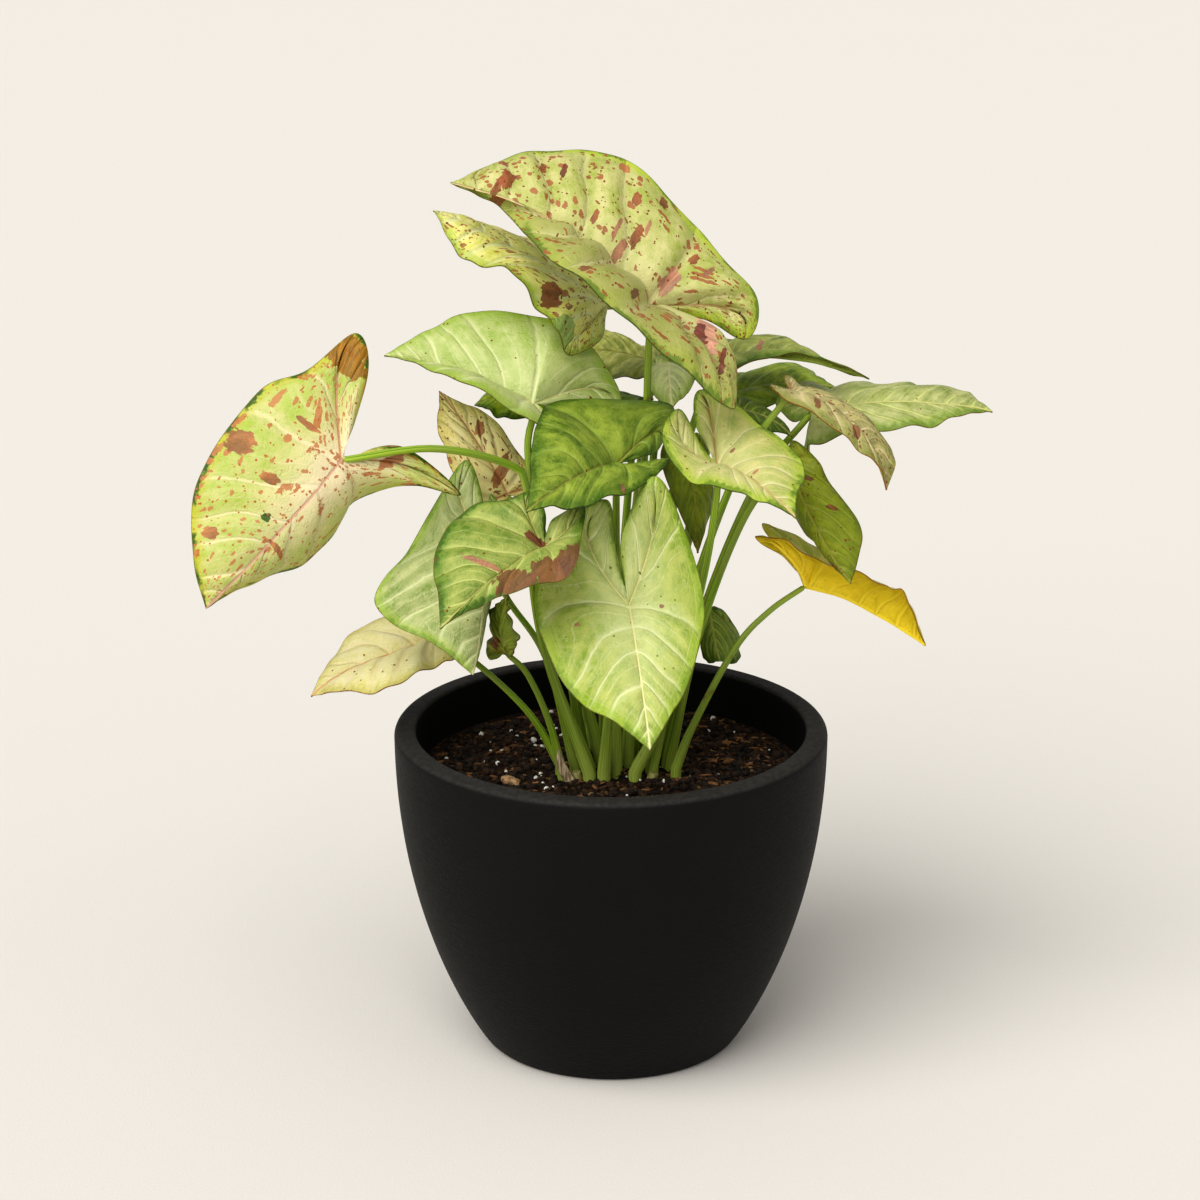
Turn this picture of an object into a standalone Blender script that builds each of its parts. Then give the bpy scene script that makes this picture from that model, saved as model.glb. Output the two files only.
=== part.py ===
"""A potted arrowhead plant: a tapered black planter, its soil, and 25 leaves on long stems.

Metres, +Z up. The origin is the middle of the planter's flat base, and -Y faces the viewer.
A leaf is one piece: a thin blade with two lobes behind the point where the stem joins it, and
the stem, which stands in a plain hole in the soil.
"""

import math

import bmesh
import bpy
from mathutils import Vector

MM = 0.001

# Planter, millimetres
POT_HEIGHT = 137
RIM_RADIUS = 90
BASE_RADIUS = 53
BELLY_POWER = 2.14
SHOULDER_POWER = 0.90
WALL = 9
FLOOR = 10
RIM_ROUNDING = 3
BASE_ROUNDING = 2
TURN_STEPS = 40
OUTER_STEPS = 9
INNER_STEPS = 4

# Soil, millimetres
SOIL_LEVEL = 117
SOIL_LUMP = 1.2
SOIL_RINGS = 6
SEAT_GAP = 0.3
HOLE_DEPTH = 16
HOLE_TOP = 3
HOLE_RADIUS = 2.6

# Stems, millimetres
STEM_BASE_RADIUS = 2.1
STEM_TOP_RADIUS = 1.4
STEM_DEPTH = 14
STEM_POINTS = 12
STEM_SHOULDER = 2.5
STEM_END_RADIUS = 0.3
STEM_END_SINK = 0.1
FINE_STEPS = 200

# Blades: sizes in millimetres, and how the rows of cells are spread
BLADE_THICKNESS = 0.8
BULGE = 3.0
WAVE_HEIGHT = 1.2
WAVE_COUNT = 4
FULL_WIDTH = 25
LOBE_STATIONS = 7
POINT_STATIONS = 9
CELLS_ACROSS = 2
EDGE_START = 0.35
LOBE_REACH = 0.7
TIP_CROWDING = 1.15
RIB_CROWDING = 1.84
VEIN_LAG = 1.4
VEIN_SWEEP = 0.05

# Colours, linear
BLACK_CLAY = (0.012, 0.012, 0.013)
DARK_SOIL = (0.035, 0.020, 0.012)
PALE_LIME = (0.52, 0.60, 0.22)
CREAM_LIME = (0.60, 0.62, 0.28)
MID_GREEN = (0.26, 0.42, 0.08)
DEEP_GREEN = (0.13, 0.28, 0.05)
OLIVE = (0.22, 0.28, 0.06)
YELLOW = (0.70, 0.58, 0.05)
BRONZE = (0.60, 0.42, 0.18)

# Each leaf's landmarks in millimetres: where its stem leaves the soil, where the stem meets the
# blade (its heart), and the tip. A half, left or right as seen from above with the tip ahead, has
# the points of its edge in order: inside of the lobe, the lobe's end, outside of the lobe, widest
# point, middle, and shoulder near the tip. A half that others hide has the lobe's end and the
# widest point alone. "stem" holds the bends of a stem that doesn't rise in a plain curve.
LEAVES = {
    "leaf_crest": {
        "colour": CREAM_LIME,
        "root": (7, 2), "heart": (16, 5, 314), "tip": (-65, 25, 360), "arch": 11,
        "stem": [(10, 10, 190), (14, 17, 255), (15, 13, 290)],
        "left": [(46, -6, 303), (49, -26, 280), (32, -34, 294),
                 (13, -34, 313), (-20, -24, 337), (-46, 27, 350)],
        "right": [(37, 12, 307), (55, 12, 299), (59, 18, 314),
                  (41, 28, 335), (4, 46, 366), (-34, 44, 369)],
    },
    "leaf_behind_crest": {
        "colour": PALE_LIME,
        "root": (-2, 20), "heart": (-2, 44, 305), "tip": (-72, 32, 348), "arch": 3,
        "stem": [(-5, 28, 180), (-12, 42, 240), (-16, 50, 275)],
        "left": [(-4, 24, 296), (-17, 9, 293), (-22, 3, 305),
                 (-29, 6, 314), (-43, 8, 329), (-61, 14, 333)],
        "right": [(7, 50, 300), (16, 60, 296), (14, 68, 301),
                  (6, 66, 307), (-34, 62, 328), (-56, 50, 339)],
    },
    "leaf_far_left": {
        "colour": PALE_LIME,
        "root": (-9, -4), "heart": (-107, -30, 260), "tip": (-160, -58, 207), "arch": 3,
        "stem": [(-27, -10, 174), (-34, -9, 241), (-43, -10, 253), (-72, -20, 262)],
        "left": [(-84, -20, 263), (-60, -18, 242), (-79, -21, 247),
                 (-101, -16, 239), (-123, -28, 217), (-148, -49, 212)],
        "right": [(-97, -14, 291), (-102, -6, 306), (-121, -14, 293),
                  (-141, -20, 285), (-164, -36, 253), (-165, -50, 225)],
    },
    "leaf_pale_left": {
        "colour": PALE_LIME,
        "root": (-4, 3), "heart": (-31, 0, 275), "tip": (-93, 25, 289), "arch": 5,
        "stem": [(-32, 0, 240)],
        "left": [(-23, 1, 270), (-14, 3, 264), (-21, -7, 264),
                 (-34, -10, 272), (-61, -16, 289), (-81, 10, 290)],
        "right": [(-13, 12, 268), (4, 18, 270), (-3, 24, 286),
                  (-21, 22, 304), (-58, 31, 305), (-80, 27, 296)],
    },
    "leaf_dark_centre": {
        "colour": DEEP_GREEN,
        "root": (2, -5), "heart": (2, -15, 254), "tip": (-33, -68, 250), "arch": 5,
        "left": [(12, -12, 254), (23, -10, 255), (20, -22, 253),
                 (11, -36, 251), (-8, -55, 249), (-24, -64, 251)],
        "right": [(12, -8, 255), (20, 0, 257), (23, 12, 271),
                  (-20, 4, 276), (-30, -22, 272), (-32, -55, 258)],
    },
    "leaf_right_centre": {
        "colour": CREAM_LIME,
        "root": (10, -10), "heart": (42, -25, 257), "tip": (71, -76, 250), "arch": 4,
        "stem": [(25, -10, 152), (37, -14, 204), (42, -22, 241)],
        "left": [(34, 2, 266), (35, 8, 279), (46, 5, 276),
                 (57, -5, 271), (75, -41, 263), (72, -64, 256)],
        "right": [(36, -22, 264), (27, -13, 277), (20, -30, 269),
                  (30, -44, 257), (50, -60, 255), (63, -70, 253)],
    },
    "leaf_long_right": {
        "colour": MID_GREEN,
        "root": (23, 12), "heart": (83, 35, 262), "tip": (157, 25, 265), "arch": 5,
        "left": [(77, 44, 255), (69, 52, 261), (75, 60, 267),
                 (92, 62, 267), (123, 54, 268), (145, 47, 268)],
        "right": [(81, 33, 253), (79, 26, 244), (81, 16, 247),
                  (84, 14, 256), (122, 18, 260), (144, 22, 264)],
    },
    "leaf_folded_right": {
        "colour": BRONZE,
        "root": (17, -4), "heart": (73, 5, 279), "tip": (110, -30, 248), "arch": 9,
        "left": [(71, 9, 281), (71, 16, 283), (75, 20, 280),
                 (78, 19, 277), (104, -2, 268), (113, -20, 258)],
        "right": [(68, 4, 281), (64, 0, 283), (66, -7, 282),
                  (70, -9, 280), (93, -24, 268), (106, -34, 259)],
    },
    "leaf_upper_right": {
        "colour": MID_GREEN,
        "root": (12, 28), "heart": (45, 52, 280), "tip": (106, 25, 279), "arch": 5,
        "left": [(38, 57, 280), (35, 66, 281), (44, 76, 282),
                 (53, 76, 283), (76, 73, 283), (94, 38, 280)],
        "right": [(40, 48, 279), (37, 40, 278), (44, 33, 280),
                  (51, 34, 282), (78, 34, 287), (96, 26, 284)],
    },
    "leaf_back_right": {
        "colour": DEEP_GREEN,
        "root": (20, 27), "heart": (50, 70, 261), "tip": (96, 78, 261), "arch": 4,
        "left": [(45, 76, 261), (43, 86, 262), (51, 95, 263),
                 (58, 94, 264), (83, 102, 264), (91, 86, 263)],
        "right": [(45, 67, 260), (43, 60, 259), (50, 54, 257),
                  (57, 54, 257), (77, 64, 259), (89, 73, 261)],
    },
    "leaf_back_strip": {
        "colour": DEEP_GREEN,
        "root": (17, 19), "heart": (54, 28, 265), "tip": (74, 10, 259), "arch": 2,
        "stem": [(28, 30, 190), (44, 38, 240)],
        "left": [(49, 33, 265), (47, 40, 266), (53, 42, 266),
                 (59, 38, 266), (67, 30, 263), (72, 17, 261)],
        "right": [(49, 27, 265), (45, 24, 264), (47, 18, 263),
                  (52, 16, 263), (62, 13, 261), (70, 11, 260)],
    },
    "leaf_drooping_right": {
        "colour": OLIVE,
        "root": (24, 3), "heart": (72, 0, 252), "tip": (96, -32, 209), "arch": 4,
        "left": [(72, 2, 257), (75, 2, 259), (84, -4, 252),
                 (88, -8, 245), (100, -20, 230), (99, -27, 218)],
        "right": [(68, 6, 253), (64, 14, 250), (66, 17, 241),
                  (70, 14, 236), (80, -8, 222), (89, -23, 214)],
    },
    "leaf_yellow": {
        "colour": YELLOW,
        "root": (27, -6), "heart": (81, 10, 195), "tip": (130, 0, 172), "arch": 3, "stem_width": 0.8,
        "stem": [(34, -6, 139), (51, -4, 172), (65, 2, 186)],
        "left": [(69, 18, 208), (63, 28, 216), (77, 34, 209),
                 (88, 26, 205), (107, 18, 193), (122, 8, 184)],
        "right": [(71, 10, 207), (59, 6, 217), (71, -6, 219),
                  (84, -8, 213), (108, -10, 203), (119, -10, 198)],
    },
    "leaf_pink_patch": {
        "colour": MID_GREEN,
        "root": (-9, -12), "heart": (-27, -52, 231), "tip": (-66, -94, 211), "arch": 4,
        "stem": [(-27, -16, 175), (-32, -28, 216)],
        "left": [(-23, -44, 240), (-11, -39, 244), (-12, -59, 236),
                 (-17, -72, 226), (-43, -80, 219), (-58, -89, 215)],
        "right": [(-26, -44, 242), (-31, -38, 250), (-41, -40, 247),
                  (-57, -42, 244), (-69, -63, 232), (-67, -83, 219)],
    },
    "leaf_broad_left": {
        "colour": PALE_LIME,
        "root": (-15, -4), "heart": (-53, -4, 220), "tip": (-55, -48, 176), "arch": 5, "stem_width": 0.8,
        "stem": [(-27, 2, 166), (-43, 3, 192)],
        "left": [(-51, 2, 229), (-49, 7, 235), (-45, 7, 226),
                 (-44, 2, 211), (-50, -14, 192), (-53, -35, 182)],
        "right": [(-53, 5, 236), (-59, 10, 249), (-70, 1, 236),
                  (-82, -12, 218), (-95, -34, 201), (-69, -44, 186)],
    },
    "leaf_low_left": {
        "colour": BRONZE,
        "root": (-21, -2), "heart": (-71, 10, 171), "tip": (-124, -8, 153), "arch": 4, "stem_width": 0.8,
        "stem": [(-34, -2, 143), (-56, 4, 163)],
        "left": [(-64, 5, 172), (-58, -5, 173), (-64, -14, 171),
                 (-72, -14, 169), (-89, -28, 163), (-112, -15, 157)],
        "right": [(-65, 13, 175), (-62, 20, 181), (-72, 27, 182),
                  (-82, 28, 179), (-109, 19, 170), (-119, 1, 160)],
    },
    "leaf_curled": {
        "colour": OLIVE,
        "root": (-20, -10), "heart": (-43, -26, 178), "tip": (-42, -17, 199), "arch": 3, "stem_width": 0.8,
        "left": [(-50, -23, 174), (-49, -18, 183)],
        "right": [(-40, -31, 178), (-38, -32, 187)],
    },
    "leaf_front": {
        "colour": PALE_LIME,
        "root": (-3, -12), "heart": (7, -40, 203), "tip": (15, -88, 159), "arch": 5,
        "left": [(4, -34, 229), (17, -31, 254), (29, -32, 232),
                 (37, -42, 204), (32, -64, 183), (22, -80, 168)],
        "right": [(2, -31, 223), (-2, -24, 242), (-21, -30, 231),
                  (-31, -42, 206), (-19, -70, 180), (3, -82, 167)],
    },
    "leaf_small_right": {
        "colour": DEEP_GREEN,
        "root": (16, 4), "heart": (41, 11, 184), "tip": (45, 0, 165), "arch": 2,
        "left": [(48, 15, 181), (54, 11, 167)],
        "right": [(40, 15, 185), (38, 14, 166)],
    },
    "leaf_behind_stems": {
        "colour": OLIVE,
        "root": (9, 11), "heart": (31, 26, 247), "tip": (36, 9, 209), "arch": 3,
        "left": [(32, 31, 251), (36, 36, 253), (40, 35, 246),
                 (41, 30, 240), (42, 22, 226), (38, 11, 215)],
        "right": [(29, 31, 251), (25, 34, 253), (21, 30, 248),
                  (21, 24, 242), (27, 16, 227), (33, 9, 216)],
    },
    "leaf_back_centre": {
        "colour": OLIVE,
        "root": (4, 29), "heart": (19, 72, 273), "tip": (-23, 106, 269), "arch": 4,
        "left": [(24, 68, 272), (27, 60, 271), (20, 53, 272),
                 (12, 54, 273), (-3, 70, 267), (-16, 93, 269)],
        "right": [(27, 76, 273), (31, 86, 273), (21, 97, 274),
                  (11, 98, 275), (-5, 114, 277), (-17, 109, 273)],
    },
    "leaf_back_pale": {
        "colour": PALE_LIME,
        "root": (9, 20), "heart": (24, 44, 281), "tip": (25, 18, 268), "arch": 3,
        "left": [(33, 54, 277), (35, 40, 275)],
        "right": [(19, 54, 281), (16, 42, 272)],
    },
    "leaf_shaded": {
        "colour": DEEP_GREEN,
        "root": (1, 11), "heart": (12, 51, 263), "tip": (-18, 25, 268), "arch": 3,
        "left": [(20, 45, 262), (9, 29, 261)],
        "right": [(16, 53, 263), (18, 58, 262), (12, 63, 261),
                  (5, 65, 261), (-5, 53, 264), (-12, 36, 267)],
    },
    "leaf_back_left": {
        "colour": DEEP_GREEN,
        "root": (-9, 23), "heart": (-23, 70, 259), "tip": (-57, 46, 262), "arch": 4,
        "left": [(-17, 65, 259), (-13, 56, 258), (-18, 46, 257),
                 (-25, 46, 256), (-43, 39, 258), (-52, 43, 261)],
        "right": [(-17, 74, 259), (-13, 84, 261), (-19, 97, 265),
                  (-27, 100, 267), (-45, 84, 264), (-52, 60, 264)],
    },
    "leaf_bronze": {
        "colour": BRONZE,
        "root": (-11, 5), "heart": (-43, 24, 230), "tip": (-71, 36, 271), "arch": 3,
        "left": [(-42, 18, 224), (-47, 12, 222), (-58, 13, 231),
                 (-64, 18, 239), (-71, 25, 255), (-71, 32, 266)],
        "right": [(-36, 25, 227), (-29, 28, 227), (-29, 33, 235),
                  (-35, 34, 241), (-51, 38, 260), (-64, 36, 267)],
    },
}


def new_collection(name):
    """A collection linked to the scene."""
    collection = bpy.data.collections.new(name)
    bpy.context.scene.collection.children.link(collection)
    return collection


def finish(name, colour, roughness):
    """A Principled material with one colour."""
    material = bpy.data.materials.new(name)
    material.use_nodes = True
    shader = material.node_tree.nodes["Principled BSDF"]
    shader.inputs["Base Color"].default_value = (*colour, 1)
    shader.inputs["Roughness"].default_value = roughness
    shader.inputs["Metallic"].default_value = 0
    material.diffuse_color = (*colour, 1)
    return material


def add_object(name, mesh, collection):
    """An object for a mesh, linked to a collection."""
    piece = bpy.data.objects.new(name, mesh)
    collection.objects.link(piece)
    return piece


def apply_modifiers(piece):
    """Gives the piece its evaluated mesh and clears its modifiers."""
    graph = bpy.context.evaluated_depsgraph_get()
    plain = piece.data
    piece.data = bpy.data.meshes.new_from_object(piece.evaluated_get(graph))
    piece.modifiers.clear()
    bpy.data.meshes.remove(plain)


def smooth_point(points, place):
    """A place (0 at the first point, 1 at the second) on a smooth line through points."""
    last = len(points) - 1
    start = max(0, min(last - 1, int(place)))
    t = place - start
    a = points[start]
    b = points[start + 1]
    before = points[start - 1] if start > 0 else 2 * a - b
    after = points[start + 2] if start + 2 <= last else 2 * b - a
    steep = b - before
    bend = 2 * before - 5 * a + 4 * b - after
    twist = 3 * a - before - 3 * b + after
    return 0.5 * (2 * a + steep * t + bend * t**2 + twist * t**3)


def even_points(points, count):
    """So many points, evenly spaced, on a smooth line through points."""
    fine = [smooth_point(points, (len(points) - 1) * i / FINE_STEPS) for i in range(FINE_STEPS + 1)]
    lengths = [0]
    for a, b in zip(fine, fine[1:]):
        lengths.append(lengths[-1] + (b - a).length)
    spaced = []
    for i in range(count):
        wanted = lengths[-1] * i / (count - 1)
        spaced.append(fine[min(range(FINE_STEPS + 1), key=lambda k: abs(lengths[k] - wanted))])
    return spaced


# Planter and soil


def wall_heights():
    """The heights of the corners of the planter's inside, from its floor to the soil's level."""
    return [FLOOR + (SOIL_LEVEL - FLOOR) * i / INNER_STEPS for i in range(INNER_STEPS + 1)]


def outer_radius(height):
    """The planter's outer radius at a height."""
    drop = 1 - height / POT_HEIGHT
    return BASE_RADIUS + (RIM_RADIUS - BASE_RADIUS) * (1 - drop**BELLY_POWER) ** SHOULDER_POWER


def inner_radius(height):
    """The radius of the planter's inside at a height."""
    return outer_radius(height) - WALL


def rounded_corner(radius, height, size, outer):
    """Points of a rounded top corner of the rim, read outwards."""
    side = 1 if outer else -1
    middle = (radius - side * size, height - size)
    turns = [math.radians(90 - side * 30 * i) for i in range(4)]
    points = [(middle[0] + size * math.cos(turn), middle[1] + size * math.sin(turn)) for turn in turns]
    return points if outer else points[::-1]


def pot_profile():
    """The planter's section, from the middle of its floor over the rim to the middle of its base."""
    outside = [BASE_ROUNDING + (POT_HEIGHT - 2 * RIM_ROUNDING - BASE_ROUNDING) * i / OUTER_STEPS
               for i in range(OUTER_STEPS + 1)]
    profile = [(0, FLOOR)]
    profile += [(inner_radius(height), height) for height in wall_heights()]
    profile += rounded_corner(RIM_RADIUS - WALL, POT_HEIGHT, RIM_ROUNDING / 2, False)
    profile += rounded_corner(RIM_RADIUS, POT_HEIGHT, RIM_ROUNDING, True)
    profile += [(outer_radius(height), height) for height in reversed(outside)]
    profile += [(BASE_RADIUS, 0.25 * BASE_ROUNDING), (BASE_RADIUS - BASE_ROUNDING, 0), (0, 0)]
    return profile


def soil_profile():
    """The soil's section, from the middle of its top out to the wall and down to its underside."""
    edge = inner_radius(SOIL_LEVEL) - SEAT_GAP
    rings = [(edge * i / SOIL_RINGS, SOIL_LEVEL) for i in range(SOIL_RINGS)]
    side = [(inner_radius(height) - SEAT_GAP, height + SEAT_GAP) for height in wall_heights()]
    return rings + side[::-1] + [(0, FLOOR + SEAT_GAP)]


def turned_object(name, profile, collection):
    """A section turned round the Z axis."""
    bm = bmesh.new()
    corners = [bm.verts.new((radius * MM, 0, height * MM)) for radius, height in profile]
    for a, b in zip(corners, corners[1:]):
        bm.edges.new((a, b))
    mesh = bpy.data.meshes.new(name)
    bm.to_mesh(mesh)
    bm.free()
    piece = add_object(name, mesh, collection)
    screw = piece.modifiers.new("Turn", "SCREW")
    screw.steps = TURN_STEPS
    screw.render_steps = TURN_STEPS
    screw.use_merge_vertices = True
    screw.merge_threshold = 0.00001
    screw.use_smooth_shade = True
    return piece


def make_pot(collection):
    """The planter, one turned shell."""
    pot = turned_object("pot", pot_profile(), collection)
    pot.data.materials.append(finish("pot clay", BLACK_CLAY, 0.75))
    return pot


def soil_lump(x, y):
    """How far the soil's top stands above its level at a place, from two crossing waves."""
    broad = math.sin(x / 9 + 1) * math.cos(y / 7)
    narrow = math.sin(x / 4.1 + y / 5.3)
    return SOIL_LUMP * (broad + 0.5 * narrow)


def hole_cutter(leaves, collection):
    """A row of plain upright pegs, one for each stem's hole."""
    bm = bmesh.new()
    height = HOLE_DEPTH + HOLE_TOP
    for leaf in leaves:
        peg = bmesh.ops.create_cone(
            bm, cap_ends=True, segments=8, depth=height * MM,
            radius1=HOLE_RADIUS * MM, radius2=HOLE_RADIUS * MM)
        middle = Vector((leaf.root.x, leaf.root.y, SOIL_LEVEL - HOLE_DEPTH + height / 2))
        bmesh.ops.translate(bm, verts=peg["verts"], vec=middle * MM)
    mesh = bpy.data.meshes.new("stem holes")
    bm.to_mesh(mesh)
    bm.free()
    cutter = add_object("stem holes", mesh, collection)
    cutter.hide_render = True
    cutter.display_type = "WIRE"
    return cutter


def make_soil(leaves, collection, cutters):
    """The soil, a turned solid with a lumpy top and a plain hole for each stem."""
    soil = turned_object("soil", soil_profile(), collection)
    apply_modifiers(soil)
    for vertex in soil.data.vertices:
        x, y, z = vertex.co / MM
        inside = 1 - (math.hypot(x, y) / inner_radius(SOIL_LEVEL)) ** 4
        if z > SOIL_LEVEL - 1:
            vertex.co.z += soil_lump(x, y) * inside * MM
    soil.data.materials.append(finish("potting soil", DARK_SOIL, 0.95))
    holes = soil.modifiers.new("Stem holes", "BOOLEAN")
    holes.operation = "DIFFERENCE"
    holes.solver = "EXACT"
    holes.object = hole_cutter(leaves, cutters)
    return soil


# Leaves


class Leaf:
    """One leaf's landmarks, in millimetres, and the smooth surface that they give."""

    def __init__(self, name, measures):
        self.name = name
        self.colour = measures["colour"]
        self.root = Vector((*measures["root"], SOIL_LEVEL))
        self.heart = Vector(measures["heart"])
        self.tip = Vector(measures["tip"])
        self.length = self.tip - self.heart
        self.arch = measures["arch"]
        self.stem_width = measures.get("stem_width", 1)
        self.bends = [Vector(point) for point in measures.get("stem", [])]
        halves = [[Vector(point) for point in measures[side]] for side in ("left", "right")]
        left_out, right_out = [self.widest(half) - self.heart for half in halves]
        self.normals = [self.length.cross(left_out).normalized(), right_out.cross(self.length).normalized()]
        self.normal = (self.normals[0] + self.normals[1]).normalized()
        self.edges = [self.edge_line(half) for half in halves]

    def widest(self, half):
        """The point where a half of the blade is widest, level with the stem."""
        return half[1] if len(half) == 2 else half[3]

    def rib(self, share):
        """A point of the midrib, which rises in a low arch from the stem to the tip."""
        return self.heart + self.length * share + self.normal * self.arch * 4 * share * (1 - share)

    def edge_line(self, half):
        """A half's edge from the stem round its lobe to the tip. A lobe's end and the widest point
        are enough for a plain half, and the others then stand at their usual places."""
        if len(half) == 2:
            lobe, widest = half
            out = widest - self.heart
            back = lobe - self.heart - 0.42 * out
            half = [self.heart + 0.55 * back + 0.10 * out, lobe, self.heart + 0.62 * back + 0.88 * out,
                    widest, self.rib(0.5) + 0.72 * out, self.rib(0.82) + 0.26 * out]
        return [self.heart, *half, self.tip]

    def lobe_rib(self, side, reach):
        """A point of a lobe's own main vein, which curves from the heart towards the lobe's end."""
        inner, lobe, outer = self.edges[side][1:4]
        bend = inner + outer - (self.heart + lobe) / 2
        return self.heart * (1 - reach) ** 2 + bend * 2 * reach * (1 - reach) + lobe * reach**2

    def blade_point(self, side, station, across):
        """A point in the middle of the blade's thickness. Stations run along a half's edge, first
        round its lobe and then to the tip, and across runs from the veins (0) to the edge (1)."""
        along = station / (LOBE_STATIONS + POINT_STATIONS)
        lobe_end = (LOBE_STATIONS + 1) / 2
        if station <= LOBE_STATIONS:
            out = 1 - abs(station - lobe_end) / (lobe_end - 1)
            place = EDGE_START + (2 - EDGE_START) * out if station < lobe_end else 4 - 2 * out
            start = self.lobe_rib(side, LOBE_REACH * out)
            share = 0
        else:
            left_over = 1 - (station - LOBE_STATIONS) / POINT_STATIONS
            place = 7 - 3 * left_over**TIP_CROWDING
            share = 1 - left_over**RIB_CROWDING
            start = self.rib(share**VEIN_LAG)
        end = smooth_point(self.edges[side], place)
        width = min(1, (end - start).length / FULL_WIDTH)
        bow = 4 * across * (1 - across)
        sweep = self.length * VEIN_SWEEP * bow * min(1, 4 * share) * (1 - share)
        wave = WAVE_HEIGHT * math.sin(math.tau * WAVE_COUNT * along) * across**2
        wave *= min(1, 4 * (1 - share)) * min(1, 3 * along)
        lift = (BULGE * bow + wave) * width
        return start + (end - start) * across - sweep + self.normals[side] * lift

    def stem_points(self):
        """The stem's middle line, straight up out of the soil and then over to the blade."""
        deep = self.root - Vector((0, 0, STEM_DEPTH))
        low = self.root + Vector((0, 0, HOLE_TOP))
        end = self.heart - self.normal * STEM_END_SINK
        rise = end - low
        bends = self.bends or [
            low + Vector((0.25 * rise.x, 0.25 * rise.y, 0.42 * rise.z)),
            low + Vector((0.62 * rise.x, 0.62 * rise.y, 0.80 * rise.z))]
        line = even_points([low, *bends, end], STEM_POINTS)
        shoulder = end + (line[-2] - end).normalized() * STEM_SHOULDER
        return [deep, *line[:-1], shoulder, end]


def blade_object(leaf, collection):
    """The blade, a grid bent to the leaf's surface and given its thickness."""
    rows = LOBE_STATIONS + POINT_STATIONS - 1
    bm = bmesh.new()
    for side in (0, 1):
        grid = bmesh.ops.create_grid(bm, x_segments=rows, y_segments=CELLS_ACROSS, size=1)
        for vertex in grid["verts"]:
            station = 1 + round((vertex.co.x + 1) / 2 * rows)
            across = round((vertex.co.y + 1) / 2 * CELLS_ACROSS) / CELLS_ACROSS
            vertex.co = (leaf.blade_point(side, station, across) - leaf.root) * MM
        if side == 1:
            half = {face for vertex in grid["verts"] for face in vertex.link_faces}
            bmesh.ops.reverse_faces(bm, faces=list(half))
    bmesh.ops.remove_doubles(bm, verts=bm.verts, dist=0.00001)
    bmesh.ops.triangulate(bm, faces=bm.faces)
    mesh = bpy.data.meshes.new(leaf.name)
    bm.to_mesh(mesh)
    bm.free()
    blade = add_object(leaf.name, mesh, collection)
    thickness = blade.modifiers.new("Thickness", "SOLIDIFY")
    thickness.thickness = BLADE_THICKNESS * MM
    thickness.offset = 0
    apply_modifiers(blade)
    return blade


def stem_object(leaf, collection):
    """The stem, a tapered round wire made into a closed mesh."""
    curve = bpy.data.curves.new(leaf.name + " stem", "CURVE")
    curve.dimensions = "3D"
    curve.bevel_depth = STEM_BASE_RADIUS * leaf.stem_width * MM
    curve.bevel_resolution = 1
    curve.use_fill_caps = True
    points = leaf.stem_points()
    spline = curve.splines.new("POLY")
    spline.points.add(len(points) - 1)
    for i, point in enumerate(points):
        taper = min(1, i / (len(points) - 2))
        spline.points[i].co = (*((point - leaf.root) * MM), 1)
        spline.points[i].radius = 1 + (STEM_TOP_RADIUS / STEM_BASE_RADIUS - 1) * taper
    spline.points[-1].radius = STEM_END_RADIUS / STEM_BASE_RADIUS
    wire = bpy.data.objects.new(leaf.name + " wire", curve)
    collection.objects.link(wire)
    graph = bpy.context.evaluated_depsgraph_get()
    mesh = bpy.data.meshes.new_from_object(wire.evaluated_get(graph))
    bm = bmesh.new()
    bm.from_mesh(mesh)
    bmesh.ops.remove_doubles(bm, verts=bm.verts, dist=0.00001)
    bmesh.ops.recalc_face_normals(bm, faces=bm.faces)
    bm.to_mesh(mesh)
    bm.free()
    bpy.data.objects.remove(wire)
    return add_object(leaf.name + " stem", mesh, collection)


def make_leaf(leaf, collection, plant):
    """One leaf, its blade and its stem joined into one solid, standing at its place in the soil."""
    blade = blade_object(leaf, collection)
    stem = stem_object(leaf, collection)
    union = blade.modifiers.new("Stem", "BOOLEAN")
    union.operation = "UNION"
    union.solver = "EXACT"
    union.object = stem
    apply_modifiers(blade)
    bpy.data.objects.remove(stem)
    blade.data.materials.clear()
    blade.data.materials.append(finish(leaf.name, leaf.colour, 0.45))
    blade.data.shade_smooth()
    blade.data.set_sharp_from_angle(angle=math.radians(50))
    blade.parent = plant
    blade.location = leaf.root * MM
    return blade


def main():
    for piece in list(bpy.data.objects):
        bpy.data.objects.remove(piece)
    parts = new_collection("arrowhead_plant")
    cutters = new_collection("cutters")
    plant = bpy.data.objects.new("plant", None)
    parts.objects.link(plant)
    leaves = [Leaf(name, measures) for name, measures in LEAVES.items()]
    make_pot(parts)
    make_soil(leaves, parts, cutters)
    for leaf in leaves:
        make_leaf(leaf, parts, plant)


main()
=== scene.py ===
import math
import random
from functools import partialmethod

import bmesh
import bpy
from mathutils import Matrix, Vector, noise


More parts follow.
